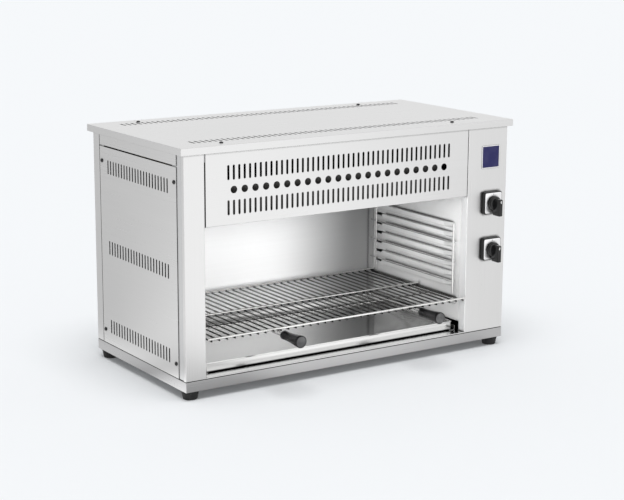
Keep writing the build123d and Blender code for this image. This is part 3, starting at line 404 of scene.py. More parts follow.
# A name in place of a value is a setting of MelterFinish. A finish with a stretch is a metal
# whose streaks run along the smallest stretch, and the others are moulded.
FINISHES = {
    "satin_steel_upright": dict(SATIN, stretch=ALONG_Z),
    "satin_steel_wide": dict(SATIN, stretch=ALONG_X),
    "satin_steel_side": dict(SATIN, stretch=ALONG_Y),
    # satin outside; painted light, picked by facing left, makes its flange as bright as the
    # chamber's side
    "column_steel": dict(SATIN, stretch=ALONG_Z, first=(left_face_light_group, dict(
        Color="satin_color", Flange_Color=(0.86, 0.86, 0.86), Flange_Metallic=0.3,
    ))),
    # duller and darker than the sheets over it
    "base_steel": dict(color=(0.46, 0.46, 0.465), roughness=0.30, stretch=ALONG_X),
    "frame_steel": dict(
        color=(0.66, 0.665, 0.67), roughness=0.40, stretch=ALL_WAYS, spread=0.08, shade=0.04,
    ),
    "mirror_steel_wide": dict(
        color="mirror_color", roughness="mirror_roughness", stretch=ALONG_X, spread=0.02,
        shade=0.02, relief=0.004, seam=0.6,
    ),
    "side_steel": dict(
        color="mirror_color", roughness=0.20, stretch=ALONG_Y, shade=0.02, relief=0.004,
        seam=0.9, metallic=0.45,
    ),
    # duller than the chamber's sides, with painted shade darkening it towards its right end, where
    # the column shades it
    "back_steel": dict(
        color="back_color", roughness=0.34, stretch=ALONG_X, spread=0.02, shade=0.015,
        relief=0.004, seam=0.6, metallic=0.12, first=(painted_shade_gradient_group, dict(
            Bright_Color="back_color", Dull_Color="back_dull_color", Start=0.02, Finish=0.27,
        )),
    ),
    # near-black: painted shade for the dark inside of the hood, seen through the vents
    "reflector_steel": dict(
        color=(0.10, 0.098, 0.095), roughness=0.45, stretch=ALONG_X, spread=0.08, shade=0.1,
    ),
    "heater_sheath": dict(
        color=(0.20, 0.18, 0.17), roughness=0.48, stretch=ALL_WAYS, spread=0.12, shade=0.2,
    ),
    # bright, and a little stained by use
    "tray_steel": dict(
        color=(0.71, 0.71, 0.705), roughness=0.12, stretch=ALONG_X, shade=0.02, relief=0.003,
        seam=0.5,
    ),
    "floor_steel": dict(
        color=(0.70, 0.70, 0.70), roughness=0.2, stretch=ALONG_X, shade=0.03, relief=0.006,
    ),
    "chromed_wire": dict(
        color="wire_color", roughness=0.10, stretch=ALL_WAYS, shade=0.05, relief=0.004,
    ),
    # along the sides of the chamber, bright against its sheets
    "guide_wire": dict(
        color=(0.78, 0.78, 0.77), roughness=0.16, stretch=ALL_WAYS, shade=0.03, relief=0.004,
        seam=0.8, metallic=0.7,
    ),
    # the thin wires of the shelf: a dark colour painted in for the dark surroundings that chromed
    # wires reflect
    "dull_wire": dict(
        color=(0.11, 0.108, 0.103), roughness=0.16, stretch=ALL_WAYS, shade=0.1, relief=0.004,
    ),
    "screw_steel": dict(
        color=(0.06, 0.06, 0.062), roughness=0.35, stretch=ALL_WAYS, spread=0.08, shade=0.1,
    ),
    "silver_plate": dict(
        color=(0.86, 0.86, 0.87), roughness=0.34, stretch=ALONG_X, spread=0.05, shade=0.03,
    ),
    "black_plastic": dict(
        color="plastic_color", roughness=0.14, dust=0.004, relief=0.05, gloss=0.35,
    ),
    # the dull, speckled disc at the front of a grip
    "grip_face": dict(
        color=(0.035, 0.035, 0.036), roughness=0.5, grain=2500.0, dust=0.06, relief=0.5,
    ),
    # painted shade: a black sheet behind the slots, where the casing's inside is only shaded
    "glass_cloth": dict(
        color=(0.003, 0.003, 0.003), roughness=0.9, grain=700.0, dust=0.002, relief=0.6,
        gloss=0.0,
    ),
    # painted shade: a black strip in the casing's seams
    "gasket": dict(color=(0.004, 0.004, 0.004), roughness=0.8, dust=0.002, gloss=0.05),
    "black_rubber": dict(
        color="rubber_color", roughness=0.6, grain=500.0, dust=0.008, relief=0.3, gloss=0.15,
    ),
    "grey_plastic": dict(color=(0.12, 0.12, 0.125), roughness=0.5),
    "white_ceramic": dict(color=(0.82, 0.80, 0.76), roughness=0.6, grain=1500.0, dust=0.0),
    "mineral_wool": dict(
        color=(0.62, 0.56, 0.42), roughness=0.95, grain=160.0, dust=0.1, relief=1.0,
    ),
    "badge_enamel": dict(
        color="badge_color", roughness=0.35, grain=300.0, dust=0.01, relief=0.03,
    ),
    "mark_ink": dict(color=(0.05, 0.05, 0.055), roughness=0.5),
    "index_paint": dict(color=(0.75, 0.75, 0.74), roughness=0.45),
}


def chosen(value):
    """A value of the table, or the setting of that name. A colour gets its alpha."""
    if isinstance(value, str):
        value = getattr(bpy.context.scene.melter_finish, value)
    return value if isinstance(value, (int, float)) else (*value, 1)


def metal(
    tree, color, roughness, stretch, spread=0.03, shade=0.012, relief=0.012, seam=0.95,
    metallic=1.0,
):
    """The surface of a brushed or polished metal, and what its shader needs."""
    # the seam setting gives the depth of the painted shade that darkens seams and crevices
    surface = node(
        tree, "Group", node_tree=brushing_group(), Color=chosen(color), Stretch=stretch,
        Roughness=chosen(roughness), Roughness_Spread=spread, Shade_Spread=shade,
        Relief=relief, Seam_Depth=seam,
    )
    return surface, {"Metallic": metallic}


def moulded(tree, color, roughness, grain=900.0, dust=0.02, relief=0.15, gloss=0.3):
    """The surface of a moulded plastic, rubber or ceramic, and what its shader needs."""
    surface = node(
        tree, "Group", node_tree=moulding_group(), Color=chosen(color), Grain_Size=grain,
        Roughness=chosen(roughness), Dust=dust, Relief=relief,
    )
    return surface, {"Specular_IOR_Level": gloss}


def finish(name):
    """A finish of the table, built once and named apart from the frame's plain materials."""
    label = f"{name}_finish"
    if label in bpy.data.materials:
        return bpy.data.materials[label]
    material = bpy.data.materials.new(label)
    tree = emptied(material)
    values = dict(FINISHES[name])
    first = values.pop("first", None)
    surface, own = (metal if "stretch" in values else moulded)(tree, **values)
    shader = node(
        tree, "BsdfPrincipled", Base_Color=surface.outputs["Color"],
        Roughness=surface.outputs["Roughness"], Normal=surface.outputs["Normal"], **own,
    )
    node(tree, "OutputMaterial", Surface=shader.outputs["BSDF"])
    if first:
        build, inputs = first
        inputs = {key: chosen(value) for key, value in inputs.items()}
        before = node(tree, "Group", node_tree=build(), **inputs)
        for result in before.outputs:
            target = surface if result.name in surface.inputs else shader
            tree.links.new(result, target.inputs[result.name])
    return material


# ------------------------------------------------------------------ modelling helpers
DOUBLE_REACH = 0.00001
SAME_POINT = 0.000001
SMOOTH_BELOW = 32  # degrees between faces that are shaded as one
FLAT = 0.99  # least share along an axis of a normal or edge that counts as along it


def at(x, y, z):
    """A point given in millimetres."""
    return Vector((x, y, z)) * MM


def reach(name):
    """Lowest and highest corner of a CAD node, in millimetres."""
    points = [vert.co / MM for vert in frame["nodes"][name].data.vertices]
    low = Vector(min(point[axis] for point in points) for axis in range(3))
    high = Vector(max(point[axis] for point in points) for axis in range(3))
    return low, high


def begin(name):
    """An empty mesh at the origin, open in edit mode."""
    bpy.ops.object.select_all(action="DESELECT")
    bpy.ops.mesh.primitive_plane_add(size=MM, location=(0, 0, 0))
    piece = bpy.context.object
    piece.name = name
    piece.data.name = name
    bpy.ops.object.mode_set(mode="EDIT")
    bpy.ops.mesh.select_all(action="SELECT")
    bpy.ops.mesh.delete(type="VERT")
    return piece


def close(piece):
    """Merges doubles, turns all faces outwards and leaves edit mode."""
    bpy.ops.mesh.select_all(action="SELECT")
    bpy.ops.mesh.remove_doubles(threshold=DOUBLE_REACH)
    bpy.ops.mesh.select_all(action="SELECT")
    bpy.ops.mesh.normals_make_consistent(inside=False)
    bpy.ops.object.mode_set(mode="OBJECT")
    return piece


def hand_over(piece, body, finishes, replaces=(), angle=SMOOTH_BELOW):
    """Smooths a piece in object mode, gives it its finishes and lets it ride its body."""
    bpy.ops.object.shade_smooth_by_angle(angle=math.radians(angle))
    for index, name in enumerate(finishes):
        if index < len(piece.data.materials):
            piece.data.materials[index] = finish(name)
        else:
            piece.data.materials.append(finish(name))
    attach(piece, body)
    if replaces:
        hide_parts(*replaces)


def end(piece, body, finishes, replaces=(), angle=SMOOTH_BELOW):
    """Closes a piece in edit mode and hands it over."""
    hand_over(close(piece), body, finishes, replaces, angle)


def pick(piece, test, kind="FACE"):
    """Selects the faces, or edges, that pass a test on their middle and normal, or line."""
    bpy.ops.mesh.select_mode(type=kind)
    mesh = bmesh.from_edit_mesh(piece.data)
    for part in (*mesh.verts, *mesh.edges, *mesh.faces):
        part.select = False
    if kind == "FACE":
        found = [face for face in mesh.faces if test(face.calc_center_median(), face.normal)]
    else:
        lines = [(edge, *(vert.co for vert in edge.verts)) for edge in mesh.edges]
        found = [edge for edge, one, two in lines if test((one + two) / 2, two - one)]
    for part in found:
        part.select_set(True)
    mesh.select_flush_mode()
    bmesh.update_edit_mesh(piece.data)


def pick_front(piece, test=lambda centre: True):
    """Selects the faces that look to the front and whose middle passes a test."""
    pick(piece, lambda centre, normal: normal.y < -FLAT and test(centre))


def selected_material(index):
    """Gives the selected faces a material slot of the piece in edit mode."""
    piece = bpy.context.object
    while len(piece.data.materials) <= index:
        piece.data.materials.append(None)
    mesh = bmesh.from_edit_mesh(piece.data)
    for face in mesh.faces:
        if face.select:
            face.material_index = index
    bmesh.update_edit_mesh(piece.data)


def extrude(x=0.0, y=0.0, z=0.0):
    """Extrudes what is selected by a step in millimetres."""
    bpy.ops.mesh.extrude_region_move(TRANSFORM_OT_translate={"value": at(x, y, z)})


def round_edges(radius, segments):
    """Bevels what is selected, by a radius in millimetres."""
    bpy.ops.mesh.bevel(offset=radius * MM, segments=segments, affect="EDGES")


def block(low, high, radius=0.0, segments=3, along=None):
    """Adds a box between two corners and rounds its edges, or those along one axis."""
    low, high = at(*low), at(*high)
    bpy.ops.mesh.select_mode(type="EDGE")
    bpy.ops.mesh.select_all(action="DESELECT")
    bpy.ops.mesh.primitive_cube_add(size=1, location=(low + high) / 2, scale=high - low)
    if radius:
        if along is not None:
            mesh = bmesh.from_edit_mesh(bpy.context.object.data)
            for edge in [edge for edge in mesh.edges if edge.select]:
                line = (edge.verts[1].co - edge.verts[0].co).normalized()
                if abs(line.dot(along)) < FLAT:
                    edge.select = False
            bmesh.update_edit_mesh(bpy.context.object.data)
        round_edges(radius, segments)
    bpy.ops.mesh.select_linked()


def turned(center, axis, side, profile, steps=40):
    """A profile of (along, radius) points, drawn by extrusion and spun round an axis."""
    center, axis, side = at(*center), Vector(axis), Vector(side)
    bpy.ops.mesh.select_all(action="DESELECT")
    bpy.ops.mesh.primitive_plane_add(size=MM)
    mesh = bmesh.from_edit_mesh(bpy.context.object.data)
    start, *rest = [vert for vert in mesh.verts if vert.select]
    for vert in rest:
        mesh.verts.remove(vert)
    start.co = center + (axis * profile[0][0] + side * profile[0][1]) * MM
    start.select_set(True)
    bmesh.update_edit_mesh(bpy.context.object.data)
    bpy.ops.mesh.select_mode(type="VERT")
    for before, after in zip(profile, profile[1:]):
        extrude(*(axis * (after[0] - before[0]) + side * (after[1] - before[1])))
    bpy.ops.mesh.select_linked()
    bpy.ops.mesh.spin(steps=steps, angle=math.tau, center=center, axis=axis)
    bpy.ops.mesh.select_linked()


# Rounding of a wire's end: how far in and how thick, both as shares of its radius.
WIRE_END = ((0, 0), (0, 0.6), (0.18, 0.88), (0.5, 1))


def wire(start, finish, radius, sides=12):
    """A straight wire with rounded ends between two points along one of the main axes."""
    start, finish = Vector(start), Vector(finish)
    axis = (finish - start).normalized()
    length = (finish - start).length
    side = Z_AXIS if abs(axis.z) < 0.5 else X_AXIS
    near = [(inward * radius, share * radius) for inward, share in WIRE_END]
    far = [(length - inward, thick) for inward, thick in reversed(near)]
    turned(start, axis, side, near + far, steps=sides)


def repeat(count, step):
    """Copies what is selected in edit mode, count times in all, a step in millimetres apart."""
    bpy.ops.mesh.select_linked()
    for _ in range(count - 1):
        bpy.ops.mesh.duplicate_move(TRANSFORM_OT_translate={"value": at(*step)})


def placed(piece, places):
    """Copies a finished mesh to each place and leaves them as one piece."""
    model = piece.data.copy()
    mesh = bmesh.new()
    for place in places:
        copy = model.copy()
        copy.transform(place)
        mesh.from_mesh(copy)
        bpy.data.meshes.remove(copy)
    mesh.to_mesh(piece.data)
    mesh.free()
    bpy.data.meshes.remove(model)


def facing(point, toward):
    """The place of a piece modelled on the origin, whose top then faces a direction."""
    turn_to = Vector(toward).to_track_quat("Z", "Y").to_matrix().to_4x4()
    return Matrix.Translation(at(*point)) @ turn_to


def give(name, nodes):
    """A finish for CAD nodes that keep their own shape."""
    for key in nodes.split():
        data = frame["nodes"][key].data
        data.materials.clear()
        data.materials.append(finish(name))


class MelterOperator(bpy.types.Operator):
    """Shared settings of the melter's operators"""

    bl_options = {"REGISTER", "UNDO"}


# ------------------------------------------------------------------ finishes on CAD pieces
class MELTER_OT_casing(MelterOperator):
    """Brushed stainless finish on the sheets of the casing"""

    bl_idname = "melter.casing"
    bl_label = "Finish the casing"

    def execute(self, context):
        give("satin_steel_upright", "left_pillar")
        give("column_steel", "control_column")
        give("satin_steel_wide", "front_vent_panel back_panel top_cover")
        give("base_steel", "base_pan")
        give(
            "satin_steel_side",
            "left_side_panel right_side_panel left_top_strip right_top_strip",
        )
        give("frame_steel", "post_front_left post_front_right post_rear_left post_rear_right")
        give("frame_steel", "front_top_rail rear_top_rail terminal_bracket")
        return {"FINISHED"}


class MELTER_OT_chamber(MelterOperator):
    """Polished finish on the cooking chamber, its heaters and its insulation"""

    bl_idname = "melter.chamber"
    bl_label = "Finish the chamber"

    def execute(self, context):
        give("back_steel", "back_liner")
        give("reflector_steel", "ceiling_reflector")
        give("mirror_steel_wide", "heater_hangers left_shelf_runner right_shelf_runner")
        give("mirror_steel_wide", "left_tray_runner right_tray_runner")
        give("floor_steel", "chamber_floor")
        give("heater_sheath", "heater_1 heater_2 heater_3 heater_4")
        give("white_ceramic", "heater_bushes")
        give("mineral_wool", "ceiling_insulation")
        give("grey_plastic", "terminal_block upper_switch_body lower_switch_body")
        give("chromed_wire", "upper_switch_shaft lower_switch_shaft")
        give("guide_wire", "left_wire_guide right_wire_guide")
        give("black_plastic", "gland_nut")
        give("screw_steel", "foot_screws")
        return {"FINISHED"}


# ------------------------------------------------------------------ modelled pieces
class MELTER_OT_liners(MelterOperator):
    """Side sheets of the chamber, their ledges cut back at the rear so that the slots show"""

    bl_idname = "melter.liners"
    bl_label = "Model the side sheets"

    def execute(self, context):
        sizes = context.scene.melter_sizes
        for name, side in (("left_liner", -1), ("right_liner", 1)):
            cutter = self.cutter(sizes, name, side)
            piece = begin(f"{name}_sheet")
            bpy.ops.object.mode_set(mode="OBJECT")
            mesh = bmesh.new()
            mesh.from_mesh(frame["nodes"][name].data)
            bmesh.ops.remove_doubles(mesh, verts=mesh.verts, dist=SAME_POINT)
            mesh.to_mesh(piece.data)
            mesh.free()
            cut = piece.modifiers.new("cut", "BOOLEAN")
            cut.operation = "DIFFERENCE"
            cut.solver = "EXACT"
            cut.use_self = True
            cut.object = cutter
            bpy.ops.object.modifier_apply(modifier="cut")
            scrap = cutter.data
            bpy.data.objects.remove(cutter)
            bpy.data.meshes.remove(scrap)
            piece.data.materials.clear()
            hand_over(piece, "cabinet", ["side_steel"], (name,), angle=12)
        return {"FINISHED"}

    def cutter(self, sizes, name, side):
        """Boxes round the rear end of each ledge, and round the web between it and its slot."""
        low, high = reach(name)
        outer, inner = (high.x, low.x) if side > 0 else (low.x, high.x)
        wall = outer - side * sizes.liner_sheet
        hair, spare, half_slot = 0.05, 0.5, 2.95
        press = sorted((wall - side * hair, inner - side))
        web = sorted((wall - side, outer + side))
        rear, height = sizes.ledge_rear, sizes.ledge_height
        piece = begin(f"{name}_cutter")
        for step in range(sizes.ledge_count):
            top = sizes.ledge_low + step * sizes.ledge_pitch
            middle = top - height / 2
            block(
                (press[0], rear - sizes.ledge_cut, top - height - spare),
                (press[1], rear + 0.4, top + spare),
            )
            block(
                (web[0], rear - 1.6, middle - half_slot), (web[1], rear + 0.6, middle + half_slot)
            )
        return close(piece)


class MELTER_OT_feet(MelterOperator):
    """Tapered rubber feet with a rolled rim and a sunk screw hole"""

    bl_idname = "melter.feet"
    bl_label = "Model the feet"

    def execute(self, context):
        sizes = context.scene.melter_sizes
        bottom, top, hole = sizes.foot_bottom, sizes.foot_top, sizes.foot_hole
        for name in ("foot_front_left", "foot_front_right", "foot_rear_left", "foot_rear_right"):
            low, high = reach(name)
            height = high.z - low.z
            middle = (low + high) / 2
            hole_end = [(height / 2, hole * 0.5), (height / 2, hole), (0.5, hole), (0, hole + 0.5)]
            taper = [(0, bottom - 1.6), (0.5, bottom - 0.5), (1.6, bottom)]
            rim = [
                (height - 4.4, top - 0.9), (height - 4.0, top - 1.2), (height - 3.4, top - 1.2),
                (height - 3.0, top - 0.2), (height - 2.4, top), (height - 0.7, top),
                (height, top - 0.7),
            ]
            seat = [(height, hole * 0.5), (height / 2, hole * 0.5)]
            piece = begin(f"{name}_rubber")
            turned(
                (middle.x, middle.y, low.z), Z_AXIS, X_AXIS, hole_end + taper + rim + seat,
                steps=48,
            )
            end(piece, "cabinet", ["black_rubber"], (name,))
        return {"FINISHED"}


class MELTER_OT_screws(MelterOperator):
    """Pan-head screws with a cross recess in the cover, the sides and the back"""

    bl_idname = "melter.screws"
    bl_label = "Model the screws"

    # how far the head's flank grows outwards and drops, as shares of what it was and of the height
    FLANK = ((1.22, 0.13), (1.15, 0.27), (1.06, 0.35), (1.02, 0.25))

    def execute(self, context):
        sizes = context.scene.melter_sizes
        height = sizes.screw_height
        piece = begin("casing_screw_heads")
        self.head(sizes, piece)
        cover_top = reach("top_cover")[1].z
        high = reach("casing_screws")[1]
        places = [
            facing((x, y, cover_top), Z_AXIS)
            for x in (-sizes.cover_screw_left, sizes.cover_screw_right)
            for y in (-sizes.cover_screw_front, sizes.cover_screw_rear)
        ]
        places += [
            facing((sign * (high.x - height), y, z), sign * X_AXIS)
            for sign in (-1, 1)
            for y in (-sizes.side_screw_y, sizes.side_screw_y)
            for z in (sizes.side_screw_low, sizes.side_screw_high)
        ]
        places += [
            facing((x, high.y - height, z), Y_AXIS)
            for x in (-sizes.back_screw_x, sizes.back_screw_x)
            for z in (sizes.back_screw_low, sizes.back_screw_middle, sizes.back_screw_high)
        ]
        placed(piece, places)
        hand_over(piece, "cabinet", ["screw_steel"], ("casing_screws",))
        return {"FINISHED"}

    def head(self, sizes, piece):
        """One screw on the origin: crown with its recess, flank, underside and shank."""
        head, height = sizes.screw_head, sizes.screw_height
        crown, arm, slot = head * 0.66, head * 0.5, 0.5
        bpy.ops.mesh.primitive_circle_add(
            vertices=24, radius=crown * MM, fill_type="NGON", location=at(0, 0, height),
        )
        for place in (-arm, -slot, slot, arm):
            for line in (X_AXIS, Y_AXIS):
                bpy.ops.mesh.select_all(action="SELECT")
                bpy.ops.mesh.bisect(plane_co=line * place * MM, plane_no=line)
        pick(piece, lambda middle, _: (
            min(abs(middle.x), abs(middle.y)) < slot * MM
            and max(abs(middle.x), abs(middle.y)) < arm * MM
        ))
        extrude(z=-0.5 * height)
        self.scale(0.85)
        pick(piece, lambda middle, _: middle.to_2d().length > head * 0.64 * MM, "EDGE")
        for grow, drop in self.FLANK:
            extrude(z=-drop * height)
            self.scale(grow)
        bpy.ops.mesh.extrude_region_move()
        self.scale(0.5)
        extrude(z=-sizes.screw_shank)
        bpy.ops.mesh.edge_face_add()
        close(piece)

    def scale(self, share):
        bpy.ops.transform.resize(value=(share, share, 1), center_override=(0, 0, 0))


class MELTER_OT_shelf(MelterOperator):
    """Wire shelf with rounded wire ends, and its pairs of handle stems"""

    bl_idname = "melter.shelf"
    bl_label = "Model the wire shelf"

    def execute(self, context):
        sizes = context.scene.melter_sizes
        low, high = reach("wire_shelf")
        thin, thick, under = sizes.shelf_wire, sizes.shelf_rod, sizes.shelf_under_rod
        rod_z = high.z - thick
        wire_z = rod_z - thick - thin
        piece = begin("shelf_wires")
        first = low.x + sizes.shelf_side_reach
        span = high.x - low.x - 2 * sizes.shelf_side_reach
        wire((first, low.y, wire_z), (first, high.y, wire_z), thin)
        repeat(sizes.shelf_count, (span / (sizes.shelf_count - 1), 0, 0))
        bpy.ops.mesh.select_all(action="SELECT")
        selected_material(1)
        for rod_y in (sizes.shelf_front_rod, sizes.shelf_middle_rod, sizes.shelf_rear_rod):
            wire((low.x, rod_y, rod_z), (high.x, rod_y, rod_z), thick, sides=20)
        left, right = low.x + sizes.under_side_reach, high.x - sizes.under_side_reach
        under_y, under_z = sizes.under_rod_y, wire_z - thin - under
        wire((left, under_y, under_z), (right, under_y, under_z), under, sides=16)
        end(
            piece, "shelf", ["chromed_wire", "dull_wire"], ("wire_shelf",),
            angle=50,
        )

        low, high = reach("handle_stems")
        z, radius = (low.z + high.z) / 2, (high.z - low.z) / 2
        piece = begin("grip_stems")
        for grip in ("left_handle_grip", "right_handle_grip"):
            grip_low, grip_high = reach(grip)
            middle = (grip_low.x + grip_high.x) / 2
            for side in (-1, 1):
                x = middle + side * sizes.stem_spacing / 2
                wire((x, low.y, z), (x, high.y, z), radius, sides=16)
        end(piece, "shelf", ["chromed_wire"], ("handle_stems",), angle=50)
        return {"FINISHED"}


class MELTER_OT_grips(MelterOperator):
    """Black grips that widen towards a dull disc at the front"""

    bl_idname = "melter.grips"
    bl_label = "Model the grips"

    def execute(self, context):
        sizes = context.scene.melter_sizes
        rear, front = sizes.grip_rear, sizes.grip_front
        disc = front - 1.9
        for name in ("left_handle_grip", "right_handle_grip"):
            low, high = reach(name)
            middle = (low + high) / 2
            length = high.y - low.y
            neck = [(0, 0), (0, rear - 2.2), (0.6, rear - 0.8), (2.0, rear), (7, rear)]
            flare = [
                (9, rear - 0.5), (length * 0.45, rear + 0.2), (length * 0.72, front - 1.6),
                (length * 0.9, front - 0.3), (length - 2.4, front), (length - 0.9, front - 0.4),
            ]
            face = [(length, front - 1.4), (length - 0.5, disc), (length - 0.5, 0)]
            piece = begin(f"{name}_moulding")
            turned(
                (middle.x, high.y, middle.z), -Y_AXIS, X_AXIS, neck + flare + face, steps=48
            )
            pick(piece, lambda centre, normal: (
                normal.y < -0.9 and centre.y < (low.y + 1) * MM
                and math.hypot(centre.x - middle.x * MM, centre.z - middle.z * MM) < disc * MM
            ))
            selected_material(1)
            end(piece, "shelf", ["black_plastic", "grip_face"], (name,))
        return {"FINISHED"}


class MELTER_OT_tray(MelterOperator):
    """Drip tray of thin sheet with rounded corners and a folded rim"""

    bl_idname = "melter.tray"
    bl_label = "Model the drip tray"

    def execute(self, context):
        sizes = context.scene.melter_sizes
        low, high = reach("drip_tray")
        rim = sizes.tray_rim
        piece = begin("drip_tray_pan")
        block(
            (low.x + rim, low.y + rim, low.z), (high.x - rim, high.y - rim, high.z),
            sizes.tray_corner, 5, Z_AXIS,
        )
        pick(piece, lambda _, normal: normal.z < -FLAT)
        round_edges(2.5, 3)
        pick(piece, lambda _, normal: normal.z > FLAT)
        bpy.ops.mesh.inset(thickness=rim * MM, use_outset=True)
        pick(piece, lambda centre, normal: normal.z > FLAT and centre.to_2d().length < 0.06)
        bpy.ops.mesh.delete(type="ONLY_FACE")
        bpy.ops.mesh.select_mode(type="EDGE")
        bpy.ops.mesh.select_all(action="DESELECT")
        bpy.ops.mesh.select_non_manifold()
        extrude(z=-sizes.tray_hem)
        close(piece)
        solid = piece.modifiers.new("sheet", "SOLIDIFY")
        solid.thickness = sizes.tray_sheet * MM
        solid.offset = -1
        bpy.ops.object.modifier_apply(modifier="sheet")
        hand_over(piece, "tray", ["tray_steel"], ("drip_tray",))
        return {"FINISHED"}


FIGURE_HEIGHT, FIGURE_DEPTH, FIGURE_RADIUS = 4.4, 0.05, 18.6


def number_marks(name, marks, center):
    """Figures round a dial, one every quarter turn, as one flat mesh that faces the front."""
    made = []
    for quarter, mark in enumerate(marks):
        angle = math.radians(90 * quarter)
        bpy.ops.object.select_all(action="DESELECT")
        bpy.ops.object.text_add(location=(0, 0, 0))
        text = bpy.context.object
        text.data.body = mark
        text.data.size = FIGURE_HEIGHT * MM
        text.data.extrude = FIGURE_DEPTH * MM
        text.data.align_x = "CENTER"
        text.data.align_y = "CENTER"
        text.data.resolution_u = 3
        bpy.ops.object.convert(target="MESH")
        place = center + Vector((math.sin(angle), 0, math.cos(angle))) * FIGURE_RADIUS
        upright = Matrix.Rotation(math.pi / 2, 4, "X")
        text.data.transform(Matrix.Translation(place * MM) @ upright)
        made.append(text)
    bpy.ops.object.select_all(action="DESELECT")
    for text in made:
        text.select_set(True)
    bpy.context.view_layer.objects.active = made[0]
    bpy.ops.object.join()
    made[0].name = name
    made[0].data.name = name
    return made[0]


class MELTER_OT_switches(MelterOperator):
    """Rotary switches: black bezel, silver dial plate with figures, hub with a grip bar"""

    bl_idname = "melter.switches"
    bl_label = "Model the switches"

    def execute(self, context):
        for level in ("upper", "lower"):
            self.bezel(context.scene.melter_sizes, level)
            self.plate(context.scene.melter_sizes, level)
            self.knob(context.scene.melter_sizes, level)
        return {"FINISHED"}

    def bezel(self, sizes, level):
        low, high = reach(f"{level}_switch_bezel")
        piece = begin(f"{level}_bezel_moulding")
        block(low, high, sizes.bezel_corner, 6, Y_AXIS)
        pick_front(piece)
        round_edges(1.6, 4)
        end(piece, "cabinet", ["black_plastic"], (f"{level}_switch_bezel",))

    def plate(self, sizes, level):
        low, high = reach(f"{level}_dial_plate")
        middle = (low + high) / 2
        trim = at(0.9, 0, 0.9) / MM
        piece = begin(f"{level}_dial")
        block(low + trim, high - trim, sizes.bezel_corner - 1.6, 5, Y_AXIS)
        pick_front(piece)
        round_edges(0.35, 2)
        end(piece, "cabinet", ["silver_plate"], (f"{level}_dial_plate",))
        center = Vector((middle.x, low.y, middle.z))
        marks = number_marks(f"{level}_dial_figures", "0123", center)
        hand_over(marks, "cabinet", ["mark_ink"])

    def knob(self, sizes, level):
        low, high = reach(f"{level}_switch_knob")
        plate_low, plate_high = reach(f"{level}_dial_plate")
        axis_z = (plate_low.z + plate_high.z) / 2
        middle = (low.x + high.x) / 2
        hub, hub_top, bar = sizes.hub_radius, sizes.hub_height, sizes.bar_width
        piece = begin(f"{level}_knob_moulding")
        turned(
            (middle, high.y, axis_z), -Y_AXIS, X_AXIS,
            [
                (0, 0), (0, hub - 0.6), (0.6, hub), (hub_top - 3.0, hub),
                (hub_top - 1.2, hub - 0.7), (hub_top - 0.2, hub - 2.6), (hub_top, hub - 5),
                (hub_top, 0),
            ],
            steps=56,
        )
        bar_top = axis_z + sizes.bar_rise
        block(
            (middle - bar / 2, low.y, low.z), (middle + bar / 2, high.y - 3, bar_top), 1.5, 4
        )
        half_mark, mark_top, mark_end = 0.9, bar_top - 2.6, bar_top - 9.0
        bar_front = (low.y + 0.1) * MM
        for place, line in (
            (at(middle - half_mark, 0, 0), X_AXIS), (at(middle + half_mark, 0, 0), X_AXIS),
            (at(0, 0, mark_top), Z_AXIS), (at(0, 0, mark_end), Z_AXIS),
        ):
            pick_front(piece, lambda centre: centre.y < bar_front)
            bpy.ops.mesh.bisect(plane_co=place, plane_no=line)
        pick_front(piece, lambda centre: (
            abs(centre.x - middle * MM) < 0.8 * MM and centre.y < bar_front
            and mark_end * MM < centre.z < mark_top * MM
        ))
        extrude(y=0.5)
        selected_material(1)
        end(
            piece, f"{level}_knob", ["black_plastic", "index_paint"],
            (f"{level}_switch_knob",),
        )


class MELTER_OT_badge(MelterOperator):
    """A bare enamelled plate with a thin bright rim on the control column"""

    bl_idname = "melter.badge"
    bl_label = "Model the bare plate"

    def execute(self, context):
        low, high = reach("badge_plate")
        middle = (low + high) / 2 * MM
        edge, rim, sunk, core = 0.3, 1.3, 0.25, 5 * MM
        piece = begin("bare_badge")
        block(low, high, 2.0, 5, Y_AXIS)
        pick_front(piece)
        round_edges(edge, 2)
        pick_front(piece)
        bpy.ops.mesh.inset(thickness=rim * MM)
        pick_front(piece, lambda centre: (
            abs(centre.x - middle.x) < core and abs(centre.z - middle.z) < core
        ))
        extrude(y=sunk)
        selected_material(1)
        end(piece, "cabinet", ["silver_plate", "badge_enamel"], ("badge_plate",))
        return {"FINISHED"}


